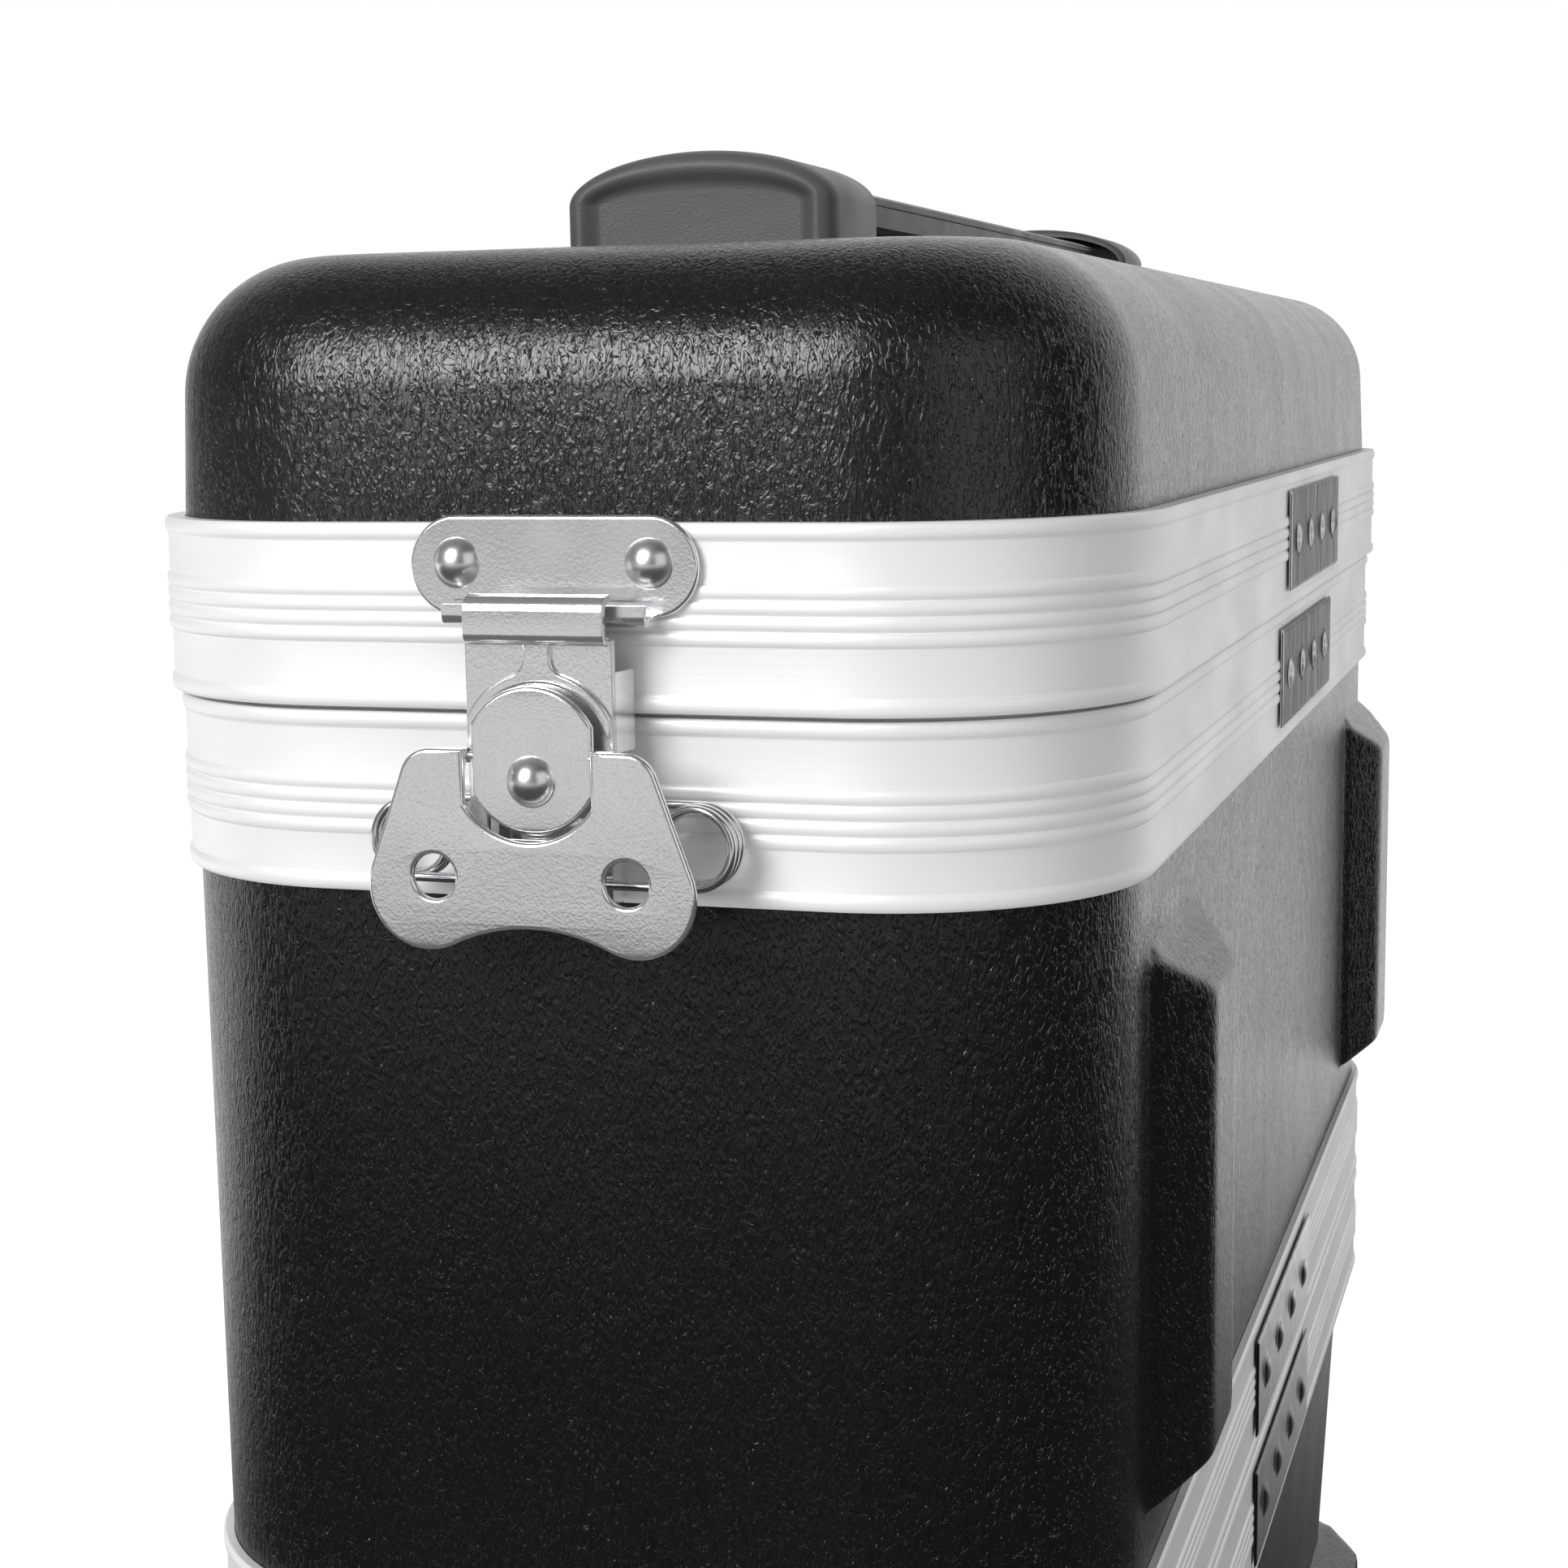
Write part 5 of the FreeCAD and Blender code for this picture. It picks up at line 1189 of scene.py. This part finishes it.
CREST, CREST_PITCH = 5 * MM, 30 * MM
FOOT_X = 44 * MM
FOOT_Y = 195 * MM
# Half outline of a foot in millimetres, as (radius, height): well for the screw, tread, flank
FOOT_PROFILE = ((5.2, 8.0), (5.2, 4.0), (5.2, 0.5), (5.8, 0.0), (10.6, 0.0), (11.6, 0.35), (12.2, 1.2),
                (14.6, 6.6), (14.9, 7.6), (15.0, 8.0), (5.2, 8.0))


def layer(loops, low, high, bevel):
    """Slab of foam: outlines in (across, along), carried from low to high, with soft edges."""
    points, faces = flat_mesh(loops, high - low, bevel)
    return np.stack([MID_X + points[:, 0], points[:, 1], (low + high) / 2 + points[:, 2]], axis=-1), faces


def foam_layers(low, high):
    """Three layers of the body's foam: with bays and pockets, with bays alone, and whole."""
    rim = rounded_loop((high.x - low.x) / 2 - FOAM_IN, high.y - FOAM_IN, FOAM_CORNER, 16)
    bays = [rounded_loop(BAY_HALF_X, BAY_HALF_Y, BAY_R, 6, x, BAY_Y)[::-1] for x in (-BAY_X, BAY_X)]
    pockets = []
    for k in range(POCKETS):
        x = (k - (POCKETS - 1) / 2) * POCKET_PITCH
        pockets.append(rounded_loop(POCKET_HALF_X, POCKET_HALF_Y, POCKET_R, 8, x, POCKET_Y)[::-1])
    upper, lower = high.z - POCKET_DEEP, high.z - BAY_DEEP
    return [layer([rim] + bays + pockets, upper + LAYER_GAP, high.z, FOAM_EDGE),
            layer([rim] + bays, lower + LAYER_GAP, upper - LAYER_GAP, LAYER_EDGE),
            layer([rim], low.z, lower - LAYER_GAP, LAYER_EDGE)]


def foam_sheet(low, high, crest, down):
    """Sheet of foam whose face, turned down or up, drops by crest (1 - cos(2 pi x / p) cos(2 pi y / p)) and
    is rounded off at its edge."""
    x = np.linspace(low.x + SHEET_IN, high.x - SHEET_IN, SHEET_COLS)
    y = np.linspace(low.y + SHEET_IN, high.y - SHEET_IN, SHEET_ROWS)
    yy, xx = np.meshgrid(y, x, indexing="ij")
    wave = np.cos((xx - MID_X) * 2 * np.pi / CREST_PITCH) * np.cos(yy * 2 * np.pi / CREST_PITCH)
    edge = from_edge(xx, yy, low, high) - SHEET_IN
    round_off = SHEET_ROUND * (1 - np.clip(edge / SHEET_ROUND_REACH, 0, 1)) ** 2
    drop = crest * (1 - wave) + round_off
    face = np.stack([xx, yy, low.z + drop if down else high.z - drop], axis=-1)
    back = np.stack([xx, yy, np.full_like(xx, high.z if down else low.z)], axis=-1)
    return closed_slab(face, back)


class CASE_OT_foam(bpy.types.Operator):
    """Foam: laminated block with bays and pockets, a crested sheet in the lid and a flat one in the base"""
    bl_idname = "case.foam"
    bl_label = "Foam inserts"

    def execute(self, context):
        layers = foam_layers(*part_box("body_foam"))
        block = flat_piece("foam_block", layers, "body", finish("foam"), sharp=50)
        stand_for(block, "foam", "body_foam")
        for node, body, name, crest in (("lid_foam", "lid", "lid_sheet", CREST),
                                        ("base_foam", "base", "base_sheet", 0.0)):
            points, faces = foam_sheet(*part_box(node), crest, down=body == "lid")
            sheet = new_piece(name, points, faces, body, finish("foam"), sharp=60)
            stand_for(sheet, "foam", node)
        return {"FINISHED"}


class CASE_OT_feet(bpy.types.Operator):
    """Rubber feet: a tapered outline with a rounded tread and a well for the screw, turned"""
    bl_idname = "case.feet"
    bl_label = "Rubber feet"

    def execute(self, context):
        points, faces = revolve(np.array(FOOT_PROFILE) * MM, 44)
        parts = [((points + np.array([MID_X + x, y, 0.0])).reshape(-1, 3), faces.tolist())
                 for x in (-FOOT_X, FOOT_X) for y in (-FOOT_Y, FOOT_Y)]
        stand_for(flat_piece("feet_treads", parts, "base", finish("rubber")), "rubber", "rubber_feet")
        return {"FINISHED"}


class CASE_OT_solids(bpy.types.Operator):
    """Finishes for the solids that stay in view as they are"""
    bl_idname = "case.solids"
    bl_label = "Finishes of the solids"

    def execute(self, context):
        for node, name in (("lid_gasket", "rubber"), ("base_gasket", "rubber"), ("divider_panel", "panel"),
                           ("handle_bolts", "screw"), ("foot_screws", "screw")):
            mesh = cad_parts[node].data
            mesh.materials.clear()
            mesh.materials.append(finish(name))
        return {"FINISHED"}


# Stage: lengths in metres, strengths beside a white of 1

WORLD_LIGHT = 0.46
SWEEP, SWEEP_SPAN = 1.15, (0.4, 0.9)
ROOM_DIM, ROOM_DARK, ROOM_SPAN = 0.16, 0.06, (-0.1, 0.7)
FRONT_GLOW, FRONT_SPAN = 0.65, (-2.3, -1.5)
BEHIND_SPAN, BEHIND_SLANT = (0.1, 1.0), -0.6
FLOOR_GLOW, FLOOR_SEEN, FLOOR_REACH = 1.4, 0.65, 6.0
# Lamps: place, aim, width, height and power in watts
LAMPS = {"key": ((-0.64, -1.605, 1.19), (0, -0.26, 0.46), 0.78, 1.0, 23),
         "fill": ((1.2, -1.1, 0.9), (0.05, -0.2, 0.4), 1.2, 1.2, 3)}
# Camera fitted to the photograph: place in metres, angles in degrees, lens and sensor in millimetres
EYE = (MID_X + 0.18892, -0.71357, UPPER_Z + 0.0595)
YAW, PITCH, ROLL = 17.869, 8.5536, -0.878
LENS, SENSOR, NEAREST = 60.547, 36, 0.01


def area(name, place, aim, width, height, power):
    """A soft rectangular lamp that faces a point."""
    lamp = bpy.data.lights.new(name, "AREA")
    lamp.shape = "RECTANGLE"
    lamp.size = width
    lamp.size_y = height
    lamp.energy = power
    holder = bpy.data.objects.new(name, lamp)
    facing = (Vector(aim) - Vector(place)).to_track_quat("-Z", "Y").to_matrix().to_4x4()
    holder.matrix_world = Matrix.Translation(place) @ facing
    bpy.context.scene.collection.objects.link(holder)


def ease(tree, value, span, start, stop):
    """Go smoothly from start to stop while the value crosses the span."""
    inputs = {"Value": value, "From Min": span[0], "From Max": span[1], "To Min": start, "To Max": stop}
    return add(tree, "ShaderNodeMapRange", inputs, interpolation_type="SMOOTHSTEP").outputs["Result"]


def white_world():
    """White to the eye, softer as light, and in reflections white behind the case, dim in the room that its
    photographed end faces and darker on the right of that room."""
    world = bpy.data.worlds.new("studio")
    bpy.context.scene.world = world
    world.use_nodes = True
    tree = world.node_tree
    path = add(tree, "ShaderNodeLightPath").outputs
    seen = add(tree, "ShaderNodeMath", {0: path["Is Camera Ray"], 1: path["Is Transmission Ray"]},
               operation="MAXIMUM")
    plain = add(tree, "ShaderNodeMapRange", {"Value": seen.outputs[0], "To Min": WORLD_LIGHT, "To Max": 1.0})
    way = add(tree, "ShaderNodeSeparateXYZ", {0: add(tree, "ShaderNodeTexCoord").outputs["Generated"]})
    room = ease(tree, way.outputs["X"], ROOM_SPAN, ROOM_DIM, ROOM_DARK)
    mirrored = ease(tree, way.outputs["Y"], SWEEP_SPAN, room, SWEEP)
    strength = add(tree, "ShaderNodeMix", {"Factor": path["Is Glossy Ray"], "A": plain.outputs["Result"],
                                           "B": mirrored})
    tree.links.new(strength.outputs["Result"], tree.nodes["Background"].inputs["Strength"])
    tree.nodes["Background"].inputs["Color"].default_value = (1, 1, 1, 1)


def floor_finish():
    """Pale floor that reads white to the eye and still takes the object's shadow; in reflections it is white
    behind the case, dark before it and pale further out in front."""
    material, tree, shader = fresh("pale_floor")
    shader.inputs["Base Color"].default_value = tuple(colours().floor)
    shader.inputs["Roughness"].default_value = 0.9
    shader.inputs["Specular IOR Level"].default_value = 0.1
    path = add(tree, "ShaderNodeLightPath").outputs
    glow = add(tree, "ShaderNodeEmission", {"Color": (1, 1, 1, 1), "Strength": FLOOR_GLOW})
    some = add(tree, "ShaderNodeMath", {0: path["Is Camera Ray"], 1: FLOOR_SEEN}, operation="MULTIPLY")
    mix = add(tree, "ShaderNodeMixShader", {0: some.outputs[0], 1: shader.outputs[0], 2: glow.outputs[0]})
    place = add(tree, "ShaderNodeSeparateXYZ", {0: add(tree, "ShaderNodeTexCoord").outputs["Object"]}).outputs
    front = ease(tree, place["Y"], FRONT_SPAN, FRONT_GLOW, ROOM_DARK)
    aslant = add(tree, "ShaderNodeMath", {0: place["X"], 1: BEHIND_SLANT, 2: place["Y"]},
                 operation="MULTIPLY_ADD")
    behind = ease(tree, aslant.outputs[0], BEHIND_SPAN, front, SWEEP)
    mirrored = add(tree, "ShaderNodeEmission", {"Color": (1, 1, 1, 1), "Strength": behind})
    both = add(tree, "ShaderNodeMixShader", {0: path["Is Glossy Ray"], 1: mix.outputs[0],
                                             2: mirrored.outputs[0]})
    tree.links.new(both.outputs[0], tree.nodes["Material Output"].inputs["Surface"])
    return material


def studio_floor():
    """A wide square under the case."""
    reach = FLOOR_REACH
    points = [[-reach, -reach, 0], [reach, -reach, 0], [reach, reach, 0], [-reach, reach, 0]]
    mesh = bpy.data.meshes.new("floor")
    mesh.from_pydata(points, [], [[0, 1, 2, 3]])
    mesh.materials.append(floor_finish())
    floor = bpy.data.objects.new("floor", mesh)
    bpy.context.scene.collection.objects.link(floor)


def photo_camera(scene):
    """The photograph's view: it looks along (-sin yaw cos pitch, cos yaw cos pitch, -sin pitch), rolled about
    that line."""
    yaw, pitch, roll = math.radians(YAW), math.radians(PITCH), math.radians(ROLL)
    ahead = Vector((-math.sin(yaw) * math.cos(pitch), math.cos(yaw) * math.cos(pitch), -math.sin(pitch)))
    right = Vector((math.cos(yaw), math.sin(yaw), 0))
    up = right.cross(ahead)
    x = math.cos(roll) * right + math.sin(roll) * up
    y = -math.sin(roll) * right + math.cos(roll) * up
    lens = bpy.data.cameras.new("view")
    lens.sensor_width = SENSOR
    lens.lens = LENS
    lens.clip_start = NEAREST
    eye = bpy.data.objects.new("view", lens)
    eye.matrix_world = Matrix.Translation(EYE) @ Matrix((x, y, -ahead)).transposed().to_4x4()
    scene.collection.objects.link(eye)
    scene.camera = eye


class CASE_OT_stage(bpy.types.Operator):
    """Floor, white surroundings, soft lamps and the camera at the photograph's view"""
    bl_idname = "case.stage"
    bl_label = "Stage"

    def execute(self, context):
        context.scene.view_settings.view_transform = "Standard"
        white_world()
        studio_floor()
        for name, values in LAMPS.items():
            area(name, *values)
        photo_camera(context.scene)
        return {"FINISHED"}


class CASE_PT_panel(bpy.types.Panel):
    """The case's pieces, sizes and colours"""
    bl_idname = "CASE_PT_panel"
    bl_label = "Microphone case"
    bl_space_type = "VIEW_3D"
    bl_region_type = "UI"
    bl_category = "Case"

    def draw(self, context):
        column = self.layout.column()
        for operator in OPERATORS:
            column.operator(operator.bl_idname)
        for group in (sizes(), colours()):
            for key in group.__annotations__:
                column.prop(group, key)


OPERATORS = (CASE_OT_stage, CASE_OT_shells, CASE_OT_valances, CASE_OT_splices, CASE_OT_latches,
             CASE_OT_springs, CASE_OT_handle, CASE_OT_foam, CASE_OT_feet, CASE_OT_solids)
CLASSES = (CaseSizes, CaseColours) + OPERATORS + (CASE_PT_panel,)


def register():
    """Register the classes and hang the sizes and colours on the scene."""
    for item in CLASSES:
        bpy.utils.register_class(item)
    bpy.types.Scene.case_sizes = PointerProperty(type=CaseSizes)
    bpy.types.Scene.case_colours = PointerProperty(type=CaseColours)


def unregister():
    """Take everything off again."""
    del bpy.types.Scene.case_colours
    del bpy.types.Scene.case_sizes
    for item in reversed(CLASSES):
        bpy.utils.unregister_class(item)


def main():
    """Build the case."""
    register()
    for operator in OPERATORS:
        group, name = operator.bl_idname.split(".")
        getattr(getattr(bpy.ops, group), name)()


if __name__ == "__main__":
    main()
